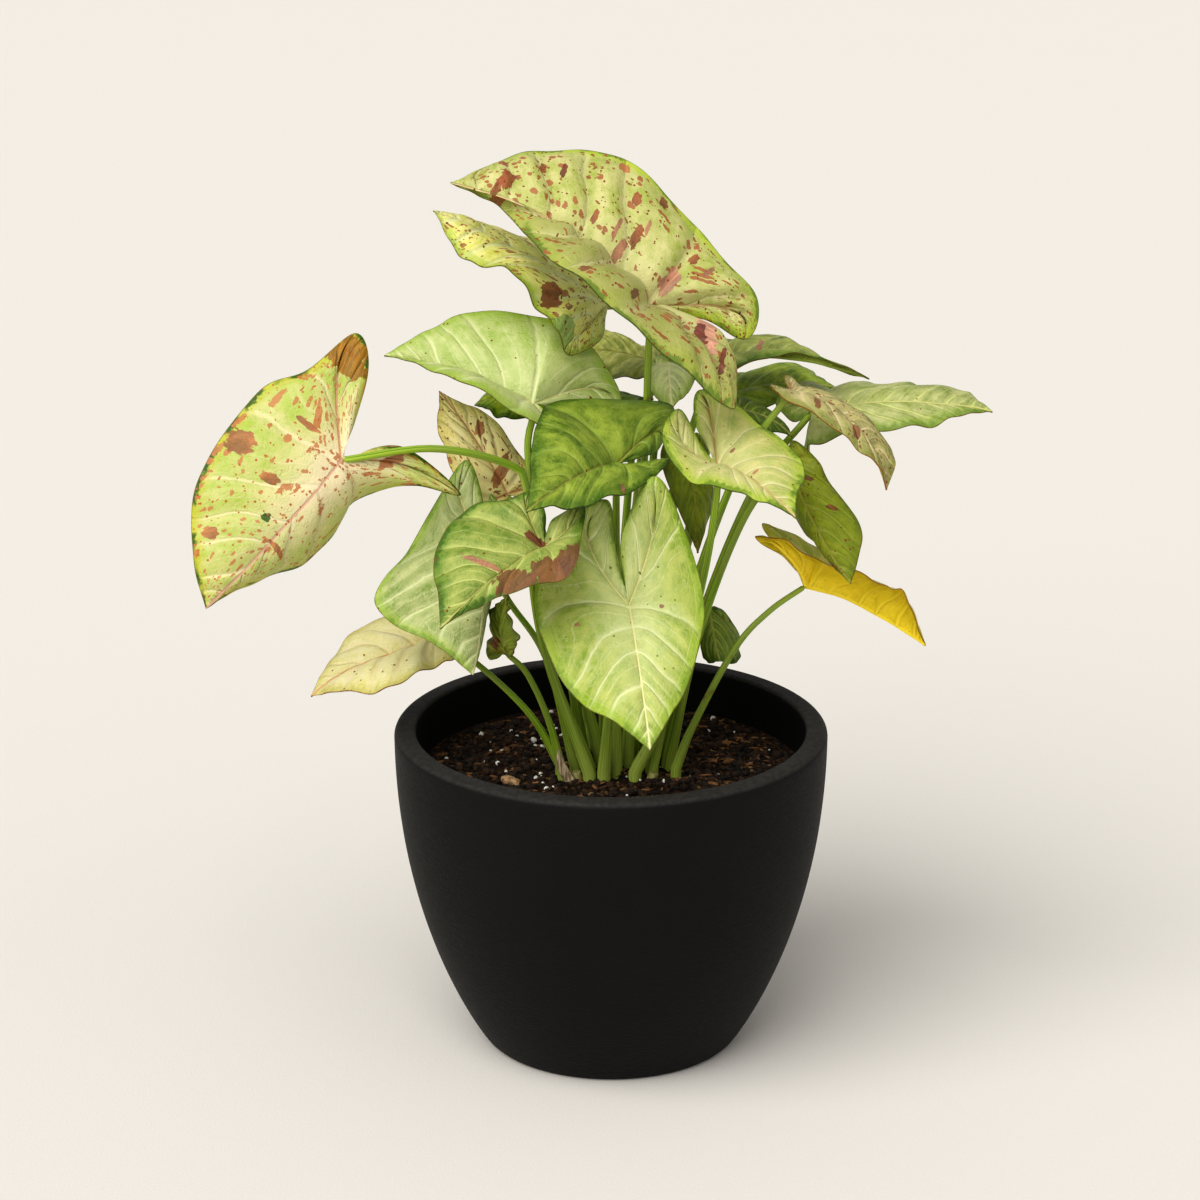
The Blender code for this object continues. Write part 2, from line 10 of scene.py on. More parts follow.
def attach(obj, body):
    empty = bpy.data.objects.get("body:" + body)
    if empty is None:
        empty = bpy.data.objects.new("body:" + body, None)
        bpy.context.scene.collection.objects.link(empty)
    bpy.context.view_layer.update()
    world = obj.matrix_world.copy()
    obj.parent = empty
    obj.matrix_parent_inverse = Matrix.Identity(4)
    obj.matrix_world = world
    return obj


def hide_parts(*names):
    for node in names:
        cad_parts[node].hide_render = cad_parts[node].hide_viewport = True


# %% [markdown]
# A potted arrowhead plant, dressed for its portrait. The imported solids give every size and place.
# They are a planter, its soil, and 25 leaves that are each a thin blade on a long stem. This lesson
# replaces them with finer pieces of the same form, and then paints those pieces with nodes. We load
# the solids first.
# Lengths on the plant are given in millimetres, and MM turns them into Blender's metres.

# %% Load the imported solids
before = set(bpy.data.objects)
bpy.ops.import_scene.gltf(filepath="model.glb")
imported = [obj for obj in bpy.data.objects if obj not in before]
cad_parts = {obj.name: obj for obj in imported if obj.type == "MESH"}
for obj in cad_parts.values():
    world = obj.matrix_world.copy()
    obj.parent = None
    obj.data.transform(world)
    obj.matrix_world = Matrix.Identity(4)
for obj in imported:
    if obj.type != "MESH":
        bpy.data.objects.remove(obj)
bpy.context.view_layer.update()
MM = 0.001

# %% [markdown]
# The camera stands where the photographer's did. A lens is best described by how large things look:
# an object one metre away and one metre wide would cover 3606 pixels of a picture 1200 pixels wide.
# On a sensor of 36 mm, that is a lens of 108 mm. It looks down by 18 degrees from 1.5 m away. The
# Standard view transform keeps the pale greens as clean as they are in daylight, and a slightly
# stronger contrast gives the depth that a camera's own picture has.

# %% Camera
PICTURE_WIDTH = 1200
FOCAL_PIXELS = 3606
SENSOR_WIDTH = 36
CAMERA_DISTANCE = 1500
CAMERA_ELEVATION = math.radians(20.21)
CAMERA_PITCH = math.radians(18.21)
CAMERA_SIDE = -4.54
AIM_HEIGHT = 136.6

lens = bpy.data.cameras.new("camera")
lens.sensor_width = SENSOR_WIDTH
lens.lens = SENSOR_WIDTH * FOCAL_PIXELS / PICTURE_WIDTH
lens.clip_end = 50
camera = bpy.data.objects.new("camera", lens)
bpy.context.scene.collection.objects.link(camera)
camera.location = Vector((
    CAMERA_SIDE,
    -CAMERA_DISTANCE * math.cos(CAMERA_ELEVATION),
    AIM_HEIGHT + CAMERA_DISTANCE * math.sin(CAMERA_ELEVATION))) * MM
camera.rotation_euler = (math.pi / 2 - CAMERA_PITCH, 0, 0)
bpy.context.scene.camera = camera
bpy.context.scene.view_settings.view_transform = "Standard"
bpy.context.scene.view_settings.look = "Medium High Contrast"
print("camera", [round(value, 3) for value in camera.location], "lens", round(lens.lens, 1), "mm")

# %% [markdown]
# Soft daylight comes from the upper left, as through a large window, and the pale room sends some
# back from every side. A sun lamp is right for both, because it lights the floor evenly as far as
# the eye can see. The wider a sun looks in the sky, the softer its shadows are, so the window is a
# sun 60 degrees across, and the weaker one that opens up the shaded side is wider still.

# %% Lights
WINDOW_FROM = Vector((-0.95, -1.25, 1.75))
WINDOW_SPREAD = math.radians(60)
WINDOW_POWER = 2.6
ROOM_FROM = Vector((1.6, -1.3, 0.9))
ROOM_SPREAD = math.radians(70)
ROOM_POWER = 0.4
ROOM_GLOW = 0.40
LAMP_TINT = (1, 0.985, 0.96)


def add_light(name, direction, spread, power):
    """A sun lamp that shines from a direction."""
    lamp = bpy.data.lights.new(name, "SUN")
    lamp.angle = spread
    lamp.energy = power
    lamp.color = LAMP_TINT
    piece = bpy.data.objects.new(name, lamp)
    bpy.context.scene.collection.objects.link(piece)
    piece.location = direction
    piece.rotation_euler = direction.to_track_quat("Z", "Y").to_euler()


add_light("window", WINDOW_FROM, WINDOW_SPREAD, WINDOW_POWER)
add_light("room", ROOM_FROM, ROOM_SPREAD, ROOM_POWER)
world = bpy.data.worlds.new("pale room")
world.use_nodes = True
world.node_tree.nodes["Background"].inputs["Color"].default_value = (1, 0.99, 0.975, 1)
world.node_tree.nodes["Background"].inputs["Strength"].default_value = ROOM_GLOW
bpy.context.scene.world = world
print("lights", WINDOW_POWER, "and", ROOM_POWER)

# %% [markdown]
# Every finish below is a small net of nodes. One class keeps those nets readable: it holds what a
# socket gives out, so that a sum of such values is written as a plain sum and adds its own node.
# The other helpers are a soft step between two values, a blend of two colours, cloudy noise, cells
# of chance, and sums of vectors. Colours are given as the 0 to 255 values that a colour picker
# shows, and turned into the linear values that light is reckoned with.

# %% Helpers for nodes


class Value:
    """What a socket gives out. A sum of values is written as a plain sum, and adds its node."""

    def __init__(self, socket):
        self.socket = socket
        self.tree = socket.id_data

    def maths(self, operation, *others):
        """A sum that starts with this value."""
        sources = dict(enumerate((self, *others)))
        return add_node(self.tree, "ShaderNodeMath", {"operation": operation}, sources)[0]

    __add__ = partialmethod(maths, "ADD")
    __sub__ = partialmethod(maths, "SUBTRACT")
    __mul__ = partialmethod(maths, "MULTIPLY")
    __pow__ = partialmethod(maths, "POWER")
    __gt__ = partialmethod(maths, "GREATER_THAN")
    __lt__ = partialmethod(maths, "LESS_THAN")
    __abs__ = partialmethod(maths, "ABSOLUTE")
    larger = partialmethod(maths, "MAXIMUM")


def feed(node, sources):
    """Feeds a node's sockets from numbers, colours or the values of other sockets."""
    for socket, source in sources.items():
        if isinstance(source, Value):
            source.tree.links.new(source.socket, node.inputs[socket])
        else:
            node.inputs[socket].default_value = source


def add_node(tree, kind, settings, sources):
    """Adds a node and feeds its sockets. It gives the node's outputs, by number and by name."""
    node = tree.nodes.new(kind)
    for name, value in settings.items():
        setattr(node, name, value)
    feed(node, sources)
    values = [Value(socket) for socket in node.outputs]
    return dict(enumerate(values)) | {value.socket.name: value for value in values}


def soft_step(value, start, end):
    """0 before start and 1 after end, with a smooth rise between. It falls where start is above end."""
    sources = {"Value": value, "From Min": start, "From Max": end}
    return add_node(value.tree, "ShaderNodeMapRange", {"interpolation_type": "SMOOTHSTEP"}, sources)[0]


def blend(share, first, second):
    """A colour between two others."""
    sources = {0: share, 6: first, 7: second}
    return add_node(share.tree, "ShaderNodeMix", {"data_type": "RGBA"}, sources)[2]


def grain(place, scale, detail=2, crisp=0.5):
    """Cloudy noise, about 0 to 1, at a place. The crisper it is, the more its fine detail shows."""
    sources = {"Vector": place, "Scale": scale, "Detail": detail, "Roughness": crisp}
    return add_node(place.tree, "ShaderNodeTexNoise", {}, sources)["Fac"]


def cells(place, scale=1, metric="EUCLIDEAN", randomness=1):
    """Cells of chance at a place: the distance to a cell's middle, and two numbers of its own."""
    sources = {"Vector": place, "Scale": scale, "Randomness": randomness}
    cell = add_node(place.tree, "ShaderNodeTexVoronoi", {"distance": metric}, sources)
    own = add_node(place.tree, "ShaderNodeSeparateColor", {}, {"Color": cell["Color"]})
    return cell["Distance"], own["Red"], own["Green"]


def vector_maths(operation, *sources):
    """A sum of vectors, or the length of one."""
    settings = {"operation": operation}
    found = add_node(sources[0].tree, "ShaderNodeVectorMath", settings, dict(enumerate(sources)))
    return found["Value" if operation == "LENGTH" else "Vector"]


def stretched(place, stretch):
    """A place with each of its axes scaled."""
    return add_node(place.tree, "ShaderNodeMapping", {}, {"Vector": place, "Scale": stretch})[0]


def split(vector):
    """The three parts of a vector."""
    found = add_node(vector.tree, "ShaderNodeSeparateXYZ", {}, {"Vector": vector})
    return found["X"], found["Y"], found["Z"]


def colour(red, green, blue):
    """A colour picker's 0 to 255 values as the linear colour that sockets hold."""
    shares = [value / 255 for value in (red, green, blue)]
    linear = [s / 12.92 if s <= 0.04045 else ((s + 0.055) / 1.055) ** 2.4 for s in shares]
    return (*linear, 1)


# %% [markdown]
# Every finish ends in the same way: its colour, its roughness and its bumps go into the one shader
# that a new material starts with.

# %% Helpers for finishes


def new_finish(name):
    """An empty material."""
    material = bpy.data.materials.new(name)
    material.use_nodes = True
    return material


def object_place(material):
    """The place on the piece, in metres."""
    return add_node(material.node_tree, "ShaderNodeTexCoord", {}, {})["Object"]


def coat(material, tone, rough, height, depth, shine=0.5):
    """Ends a finish. The bumps are a height from 0 to 1, so many metres deep."""
    bumps = {"Height": height, "Distance": depth, "Strength": 1}
    normal = add_node(material.node_tree, "ShaderNodeBump", {}, bumps)[0]
    feed(material.node_tree.nodes["Principled BSDF"], {
        "Base Color": tone, "Roughness": rough, "Specular IOR Level": shine, "Normal": normal})
    return material


# %% [markdown]
# The floor is a plain pale board. It is one large disc, wide enough to fill the picture from any
# side, and its finish has only the faint flecks of matte card.

# %% Floor
FLOOR_RADIUS = 14


def floor_finish():
    """Matte warm card."""
    material = new_finish("pale floor")
    flecks = grain(object_place(material), 900, 3)
    tone = blend(flecks, colour(217, 213, 206), colour(224, 220, 214))
    return coat(material, tone, rough=0.85, height=flecks, depth=0.0001)


def new_object(name, bm, finishes):
    """An object in the scene, made from a bmesh."""
    mesh = bpy.data.meshes.new(name)
    bm.to_mesh(mesh)
    bm.free()
    for finish in finishes:
        mesh.materials.append(finish)
    piece = bpy.data.objects.new(name, mesh)
    bpy.context.scene.collection.objects.link(piece)
    return piece


bm = bmesh.new()
bmesh.ops.create_circle(bm, cap_ends=True, segments=96, radius=FLOOR_RADIUS)
floor = new_object("floor", bm, [floor_finish()])
print("floor", 2 * FLOOR_RADIUS, "m across")

# %% [markdown]
# A piece of the plant always ends in the same way: it rides on the plant's one body, and it takes
# the place of the plain solid that it improves on, which is hidden.

# %% Helper that finishes a piece


def add_piece(name, bm, finishes, replaced=None):
    """A smooth object for a bmesh, tied to the plant."""
    piece = new_object(name, bm, finishes)
    piece.data.shade_smooth()
    if replaced:
        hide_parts(replaced)
    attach(piece, "root")
    print(name, len(piece.data.polygons), "faces")
    return piece


# %% [markdown]
# The planter is cast in a mould and turned true, so it is a spin: half of its section, drawn once
# and swept round the upright axis. The side swells like a bell. One power curve gives the fullness
# of the belly and a second the way it straightens towards the rim. The rim is a soft roll outside
# and a tighter one inside. Merging the end of the spin with its start closes the seam.

# %% Planter shape
POT_HEIGHT = 137
RIM_RADIUS = 90
BASE_RADIUS = 53
BELLY_POWER = 2.14
SHOULDER_POWER = 0.90
WALL = 9
SOIL_LEVEL = 117
RIM_ROUNDING = 3
BASE_ROUNDING = 2
POT_FLOOR = 10
SIDE_STEPS = 46
TURN_STEPS = 144
MERGE_REACH = 0.001 * MM


def outer_radius(height):
    """The planter's outer radius at a height."""
    drop = 1 - height / POT_HEIGHT
    return BASE_RADIUS + (RIM_RADIUS - BASE_RADIUS) * (1 - drop**BELLY_POWER) ** SHOULDER_POWER


def rounded_corner(radius, height, size, side):
    """Points of a rounded top corner, read outwards. The side is 1 outside and -1 inside."""
    turns = [math.radians(90 - side * 90 * i / 6) for i in range(7)]
    middle = radius - side * size
    points = [(middle + size * math.cos(turn), height - size + size * math.sin(turn)) for turn in turns]
    return points if side == 1 else points[::-1]


def pot_section():
    """The planter's section, from the middle of its floor over the rim to the middle of its base."""
    heights = [BASE_ROUNDING + (POT_HEIGHT - 2 * RIM_ROUNDING - BASE_ROUNDING) * i / SIDE_STEPS
               for i in range(SIDE_STEPS + 1)]
    section = [(0, POT_FLOOR)]
    section += [(outer_radius(height) - WALL, height) for height in heights if height > POT_FLOOR]
    section += rounded_corner(RIM_RADIUS - WALL, POT_HEIGHT, RIM_ROUNDING / 2, -1)
    section += rounded_corner(RIM_RADIUS, POT_HEIGHT, RIM_ROUNDING, 1)
    section += [(outer_radius(height), height) for height in reversed(heights)]
    return section + [(BASE_RADIUS, 0.25 * BASE_ROUNDING), (BASE_RADIUS - BASE_ROUNDING, 0), (0, 0)]


def turned(section):
    """A bmesh of a section, given as radius and height in millimetres, spun round the upright axis."""
    bm = bmesh.new()
    corners = [bm.verts.new((radius * MM, 0, height * MM)) for radius, height in section]
    edges = [bm.edges.new(pair) for pair in zip(corners, corners[1:])]
    bmesh.ops.spin(
        bm, geom=corners + edges, cent=(0, 0, 0), axis=(0, 0, 1),
        angle=math.tau, steps=TURN_STEPS, use_merge=True)
    bmesh.ops.remove_doubles(bm, verts=bm.verts, dist=MERGE_REACH)
    bmesh.ops.recalc_face_normals(bm, faces=bm.faces)
    return bm


# %% [markdown]
# The planter's finish is matte charcoal: fibre clay with its colour all through. Close up it has a
# faint grain of fibres that lie round the pot and tiny pinholes, and the top of its rim is painted
# paler: mostly a painted highlight, with a little dust. Each of those is one texture of the place on
# the pot: noise stretched sideways, small cells that are mostly left out, and a soft step by height.

# %% Planter finish
CHARCOAL = colour(13, 13, 12)
SOFT_CHARCOAL = colour(21, 20, 19)
RIM_HIGHLIGHT_AND_DUST = colour(54, 52, 50)


def pot_finish():
    """Matte fibre clay."""
    material = new_finish("charcoal fibre clay")
    place = object_place(material)
    fibres = grain(stretched(place, (1, 1, 5)), 260, 4)
    distance, pick, _ = cells(place, scale=420)
    pit = soft_step(distance, 0.30, 0.12) * (pick > 0.86)
    # Painted highlight, with a little dust: the top of the rim is painted paler in uneven patches.
    edge = soft_step(split(place)[2], (POT_HEIGHT - 2.2) * MM, (POT_HEIGHT - 0.6) * MM)
    rim_highlight_patches = soft_step(grain(place, 500, 4), 0.4, 0.6) * 0.3 + 0.6
    tone = blend(grain(place, 24, 3), CHARCOAL, SOFT_CHARCOAL)
    tone = blend(edge * rim_highlight_patches, tone, RIM_HIGHLIGHT_AND_DUST)
    rough = fibres * 0.22 + 0.5
    return coat(material, tone, rough, height=fibres - pit * 0.9, depth=0.00022, shine=0.14)


add_piece("planter", turned(pot_section()), [pot_finish()], "pot")

# %% [markdown]
# Potting mix is a heap of crumbs. Sculpting each would take millions of faces, so there are three
# layers of detail: a turned solid whose top rises and falls with two waves and some noise, a few
# thousand loose crumbs and bark chips on it, and a rough finish with bumps for all that is smaller.

# %% Soil bed
SOIL_LUMP = 1.2
SOIL_CRUMB = 1.5
SEAT_GAP = 0.1
SOIL_RINGS = 64
SOIL_FLOOR = 90


def soil_height(x, y):
    """The height of the soil's top at a place."""
    broad = math.sin(x / 9 + 1) * math.cos(y / 7)
    narrow = math.sin(x / 4.1 + y / 5.3)
    crumbs = noise.noise(Vector((x, y, 0)) / 4) + 0.6 * noise.noise(Vector((x, y, 7)) / 1.8)
    inside = 1 - (math.hypot(x, y) / (RIM_RADIUS - WALL)) ** 4
    return SOIL_LEVEL + (SOIL_LUMP * (broad + 0.5 * narrow) + SOIL_CRUMB * crumbs) * inside


def soil_bed():
    """A turned plug of soil with a lumpy top."""
    edge = outer_radius(SOIL_LEVEL) - WALL - SEAT_GAP
    section = [(edge * i / SOIL_RINGS, SOIL_LEVEL) for i in range(SOIL_RINGS + 1)]
    section += [(outer_radius(SOIL_FLOOR) - WALL - SEAT_GAP, SOIL_FLOOR), (0, SOIL_FLOOR)]
    bm = turned(section)
    for vertex in bm.verts:
        if vertex.co.z > (SOIL_LEVEL - 1) * MM:
            vertex.co.z = soil_height(vertex.co.x / MM, vertex.co.y / MM) * MM
    return bm


def soil_finish():
    """Dark moist peat with paler fibres."""
    material = new_finish("potting mix")
    place = object_place(material)
    lumps = grain(place, 420, 5)
    _, fibre, chip = cells(place, scale=520)
    tone = blend(soft_step(lumps, 0.35, 0.65), colour(12, 7, 4), colour(56, 36, 19))
    tone = blend(soft_step(fibre, 0.86, 0.92), tone, colour(92, 66, 40))
    tone = blend(soft_step(chip, 0.95, 0.98), tone, colour(140, 112, 78))
    height = grain(place, 1600, 3) * 0.4 + lumps
    return coat(material, tone, rough=0.9, height=height, depth=0.0016, shine=0.25)


add_piece("soil_bed", soil_bed(), [soil_finish()], "soil")

# %% [markdown]
# The loose bits are of three sorts: peat crumbs, chips of bark, and perlite, which is volcanic glass
# that has popped like corn into white grains. A grain is a small ball with few faces, pushed in and
# out by chance and laid half sunk on the soil. All grains of a sort make one piece. The chance is
# seeded, so that each run gives the same soil.

# %% Loose grains
GRAIN_REACH = 77


def scatter(count, seed, low, high, flat, faces=1, lean=0, long=1):
    """A bmesh of grains with radii from low to high millimetres. Flat squashes them, long stretches
    them, faces is 1 for 20 faces each and 2 for 80, and lean crowds them towards the left."""
    chance = random.Random(seed)
    bm = bmesh.new()
    for _ in range(count):
        angle = chance.uniform(0, math.tau)
        reach = GRAIN_REACH * math.sqrt(chance.random())
        x = reach * math.cos(angle)
        y = reach * math.sin(angle)
        size = low + (high - low) * chance.random() ** 2
        if chance.random() < lean * (0.5 + 0.5 * x / GRAIN_REACH):
            continue
        ball = bmesh.ops.create_icosphere(bm, subdivisions=faces, radius=size * MM)["verts"]
        turn = Matrix.Rotation(chance.uniform(0, math.tau), 4, "Z") @ Matrix.Rotation(
            chance.uniform(-0.6, 0.6), 4, "X")
        shape = Matrix.Diagonal((long * chance.uniform(0.8, 1.3), chance.uniform(0.6, 1), flat, 1))
        for vertex in ball:
            push = 1 + 0.6 * noise.noise(vertex.co / (size * MM) * 1.6 + Vector((x, y, seed)))
            vertex.co *= push
        place = Vector((x, y, soil_height(x, y) + 0.35 * size * flat)) * MM
        bmesh.ops.transform(bm, matrix=Matrix.Translation(place) @ turn @ shape, verts=ball)
    return bm


def speckled_finish(name, first, second, size, depth):
    """A rough finish that drifts between two colours over so many metres."""
    material = new_finish(name)
    place = object_place(material)
    drift = soft_step(grain(place, 1 / size, 3), 0.35, 0.65)
    tone = blend(drift, first, second)
    return coat(material, tone, rough=0.88, height=grain(place, 1400, 4), depth=depth)


crumb_finish = speckled_finish("peat crumbs", colour(14, 8, 5), colour(64, 41, 22), 0.005, 0.0008)
bark_finish = speckled_finish("bark chips", colour(46, 28, 14), colour(150, 104, 60), 0.006, 0.0006)
perlite_finish = speckled_finish("perlite", colour(228, 225, 217), colour(252, 251, 247), 0.002, 0.0003)
crumbs = scatter(1700, seed=4, low=0.6, high=2.2, flat=0.8, long=1.2)
chips = scatter(760, seed=9, low=0.4, high=1.9, flat=0.35, long=2.3)
popped = scatter(150, seed=15, low=0.4, high=1.5, flat=0.85, faces=2, lean=0.6)
add_piece("peat_crumbs", crumbs, [crumb_finish])
add_piece("bark_chips", chips, [bark_finish])
add_piece("perlite_grains", popped, [perlite_finish])

# %% [markdown]
# Three larger things lie at the foot of the stems. A chunk of bark is one ball of many faces, pressed
# flat and roughened by chance. Two short stubs are what is left of leaves that were cut off. And a
# strip of dry sheath still leans against a stem: a flat grid, narrowed to a point, rolled a little
# about its length and bent to the side.

# %% Chunk, stubs and sheath
CHUNK_PLACE = (-40.9, -15.6)
CHUNK_SIZE = (4.6, 3.2, 2.9)
STUBS = [(-14, -12, 4, -10), (17, -11, 3, 14)]
STUB_RADIUS = 2.2
SHEATH_FOOT = Vector((-15.5, -16.5, 116))
SHEATH_TIP = Vector((-21.5, -17.5, 133))
SHEATH_HALF_WIDTH = 2.6
SHEATH_STEPS = 28
SHEATH_SIDES = 8


def bark_chunk():
    """A rough lump, half sunk in the soil."""
    bm = bmesh.new()
    ball = bmesh.ops.create_icosphere(bm, subdivisions=4, radius=1)["verts"]
    for vertex in ball:
        coarse = noise.noise(vertex.co * 1.3 + Vector((3, 1, 2)))
        fine = noise.noise(vertex.co * 5)
        vertex.co *= 1 + 0.45 * coarse + 0.12 * fine
    x, y = CHUNK_PLACE
    place = Vector((x, y, soil_height(x, y) + 1)) * MM
    shape = Matrix.Diagonal((*[size * MM for size in CHUNK_SIZE], 1))
    turn = Matrix.Rotation(0.4, 4, "Z") @ Matrix.Rotation(0.3, 4, "Y")
    bmesh.ops.transform(bm, matrix=Matrix.Translation(place) @ turn @ shape, verts=ball)
    return bm


def cut_stubs():
    """Short round stumps, given as place, height and lean in degrees."""
    bm = bmesh.new()
    for x, y, height, lean in STUBS:
        stump = bmesh.ops.create_cone(
            bm, cap_ends=True, segments=20, radius1=1.15 * STUB_RADIUS * MM, radius2=STUB_RADIUS * MM,
            depth=2 * height * MM)["verts"]
        place = Vector((x, y, SOIL_LEVEL)) * MM
        turn = Matrix.Rotation(math.radians(lean), 4, "Y")
        bmesh.ops.transform(bm, matrix=Matrix.Translation(place) @ turn, verts=stump)
    tops = [edge for edge in bm.edges if edge.calc_face_angle(0) > 1]
    bmesh.ops.bevel(bm, geom=tops, offset=0.3 * MM, segments=2, affect="EDGES", profile=0.5, material=-1)
    return bm


def dry_sheath():
    """A papery strip that leans up out of the soil."""
    bm = bmesh.new()
    grid = bmesh.ops.create_grid(bm, x_segments=SHEATH_STEPS, y_segments=SHEATH_SIDES, size=1)["verts"]
    for vertex in grid:
        up = (vertex.co.x + 1) / 2
        aside = vertex.co.y
        width = SHEATH_HALF_WIDTH * (1 - up**2.5) + 0.15
        crease = 0.35 * noise.noise(Vector((6 * up, 3 * aside, 1)))
        middle = SHEATH_FOOT.lerp(SHEATH_TIP, up) + Vector((-1.6, 0, 0)) * math.sin(math.pi * up)
        rolled = Vector((width * math.sin(1.2 * aside), width * (1 - math.cos(1.2 * aside)) + crease, 0))
        vertex.co = (middle + rolled) * MM
    bmesh.ops.solidify(bm, geom=list(bm.faces), thickness=0.25 * MM)
    bmesh.ops.recalc_face_normals(bm, faces=bm.faces)
    return bm


def papery_finish(name, first, second):
    """Dry skin with fine streaks that run up it."""
    material = new_finish(name)
    streaks = grain(stretched(object_place(material), (1, 1, 0.08)), 1300, 3)
    tone = blend(soft_step(streaks, 0.35, 0.65), first, second)
    return coat(material, tone, rough=0.7, height=streaks, depth=0.0002)


chunk_finish = speckled_finish("pale bark", colour(140, 98, 62), colour(214, 178, 134), 0.002, 0.0005)
stub_finish = papery_finish("cut stem", colour(112, 112, 50), colour(178, 170, 110))
sheath_finish = papery_finish("dry sheath", colour(132, 110, 78), colour(214, 196, 162))
add_piece("bark_chunk", bark_chunk(), [chunk_finish])
add_piece("cut_stubs", cut_stubs(), [stub_finish])
add_piece("dry_sheath", dry_sheath(), [sheath_finish])

# %% [markdown]
# The leaves are the plant. An arrowhead leaf has three parts that meet where its stem joins it: a
# long pointed middle, and two lobes that reach back. Each leaf below is a short list of landmarks
# in millimetres, the same ones that shaped the solids: where the stem leaves the soil, its bends,
# the heart where the stem meets the blade, the tip, and the points of both edges. From above, with
# the tip ahead, a half is left or right. A half that others hide has just two points.

# %% Landmarks of the leaves
LEAVES = {}
LEAVES["crest"] = dict(
    root=(7, 2), heart=(16, 5, 314), tip=(-65, 25, 360), arch=11, quilt=3.5,
    stem=[(10, 10, 190), (14, 17, 255), (15, 13, 290)],
    left=[(46, -6, 303), (49, -26, 280), (32, -34, 294), (13, -34, 313), (-20, -24, 337), (-46, 27, 350)],
    right=[(37, 12, 307), (55, 12, 299), (59, 18, 314), (41, 28, 335), (4, 46, 366), (-34, 44, 369)])
LEAVES["behind_crest"] = dict(
    root=(-2, 20), heart=(-2, 44, 305), tip=(-72, 32, 348), arch=3,
    stem=[(-5, 28, 180), (-12, 42, 240), (-16, 50, 275)],
    left=[(-4, 24, 296), (-17, 9, 293), (-22, 3, 305), (-29, 6, 314), (-43, 8, 329), (-61, 14, 333)],
    right=[(7, 50, 300), (16, 60, 296), (14, 68, 301), (6, 66, 307), (-34, 62, 328), (-56, 50, 339)])
LEAVES["far_left"] = dict(
    root=(-9, -4), heart=(-107, -30, 260), tip=(-160, -58, 207), arch=3, quilt=1.5,
    stem=[(-27, -10, 174), (-34, -9, 241), (-43, -10, 253), (-72, -20, 262)],
    left=[(-84, -20, 263), (-60, -18, 242), (-79, -21, 247), (-101, -16, 239), (-123, -28, 217),
          (-148, -49, 212)],
    right=[(-97, -14, 291), (-102, -6, 306), (-121, -14, 293), (-141, -20, 285), (-164, -36, 253),
           (-165, -50, 225)])
LEAVES["pale_left"] = dict(
    root=(-4, 3), heart=(-31, 0, 275), tip=(-93, 25, 289), arch=5,
    stem=[(-32, 0, 240)],
    left=[(-23, 1, 270), (-14, 3, 264), (-21, -7, 264), (-34, -10, 272), (-61, -16, 289), (-81, 10, 290)],
    right=[(-13, 12, 268), (4, 18, 270), (-3, 24, 286), (-21, 22, 304), (-58, 31, 305), (-80, 27, 296)])
LEAVES["dark_centre"] = dict(
    root=(2, -5), heart=(2, -15, 254), tip=(-33, -68, 250), arch=5,
    left=[(12, -12, 254), (23, -10, 255), (20, -22, 253), (11, -36, 251), (-8, -55, 249), (-24, -64, 251)],
    right=[(12, -8, 255), (20, 0, 257), (23, 12, 271), (-20, 4, 276), (-30, -22, 272), (-32, -55, 258)])
LEAVES["right_centre"] = dict(
    root=(10, -10), heart=(42, -25, 257), tip=(71, -76, 250), arch=4,
    stem=[(25, -10, 152), (37, -14, 204), (42, -22, 241)],
    left=[(34, 2, 266), (35, 8, 279), (46, 5, 276), (57, -5, 271), (75, -41, 263), (72, -64, 256)],
    right=[(36, -22, 264), (27, -13, 277), (20, -30, 269), (30, -44, 257), (50, -60, 255), (63, -70, 253)])
LEAVES["long_right"] = dict(
    root=(23, 12), heart=(83, 35, 262), tip=(157, 25, 265), arch=5, ruffle=2.5,
    left=[(77, 44, 255), (69, 52, 261), (75, 60, 267), (92, 62, 267), (123, 54, 268), (145, 47, 268)],
    right=[(81, 33, 253), (79, 26, 244), (81, 16, 247), (84, 14, 256), (122, 18, 260), (144, 22, 264)])
LEAVES["folded_right"] = dict(
    root=(17, -4), heart=(73, 5, 279), tip=(110, -30, 248), arch=9,
    left=[(71, 9, 281), (71, 16, 283), (75, 20, 280), (78, 19, 277), (104, -2, 268), (113, -20, 258)],
    right=[(68, 4, 281), (64, 0, 283), (66, -7, 282), (70, -9, 280), (93, -24, 268), (106, -34, 259)])
LEAVES["upper_right"] = dict(
    root=(12, 28), heart=(45, 52, 280), tip=(106, 25, 279), arch=5,
    left=[(38, 57, 280), (35, 66, 281), (44, 76, 282), (53, 76, 283), (76, 73, 283), (94, 38, 280)],
    right=[(40, 48, 279), (37, 40, 278), (44, 33, 280), (51, 34, 282), (78, 34, 287), (96, 26, 284)])
LEAVES["back_right"] = dict(
    root=(20, 27), heart=(50, 70, 261), tip=(96, 78, 261), arch=4,
    left=[(45, 76, 261), (43, 86, 262), (51, 95, 263), (58, 94, 264), (83, 102, 264), (91, 86, 263)],
    right=[(45, 67, 260), (43, 60, 259), (50, 54, 257), (57, 54, 257), (77, 64, 259), (89, 73, 261)])
LEAVES["back_strip"] = dict(
    root=(17, 19), heart=(54, 28, 265), tip=(74, 10, 259), arch=2,
    stem=[(28, 30, 190), (44, 38, 240)],
    left=[(49, 33, 265), (47, 40, 266), (53, 42, 266), (59, 38, 266), (67, 30, 263), (72, 17, 261)],
    right=[(49, 27, 265), (45, 24, 264), (47, 18, 263), (52, 16, 263), (62, 13, 261), (70, 11, 260)])
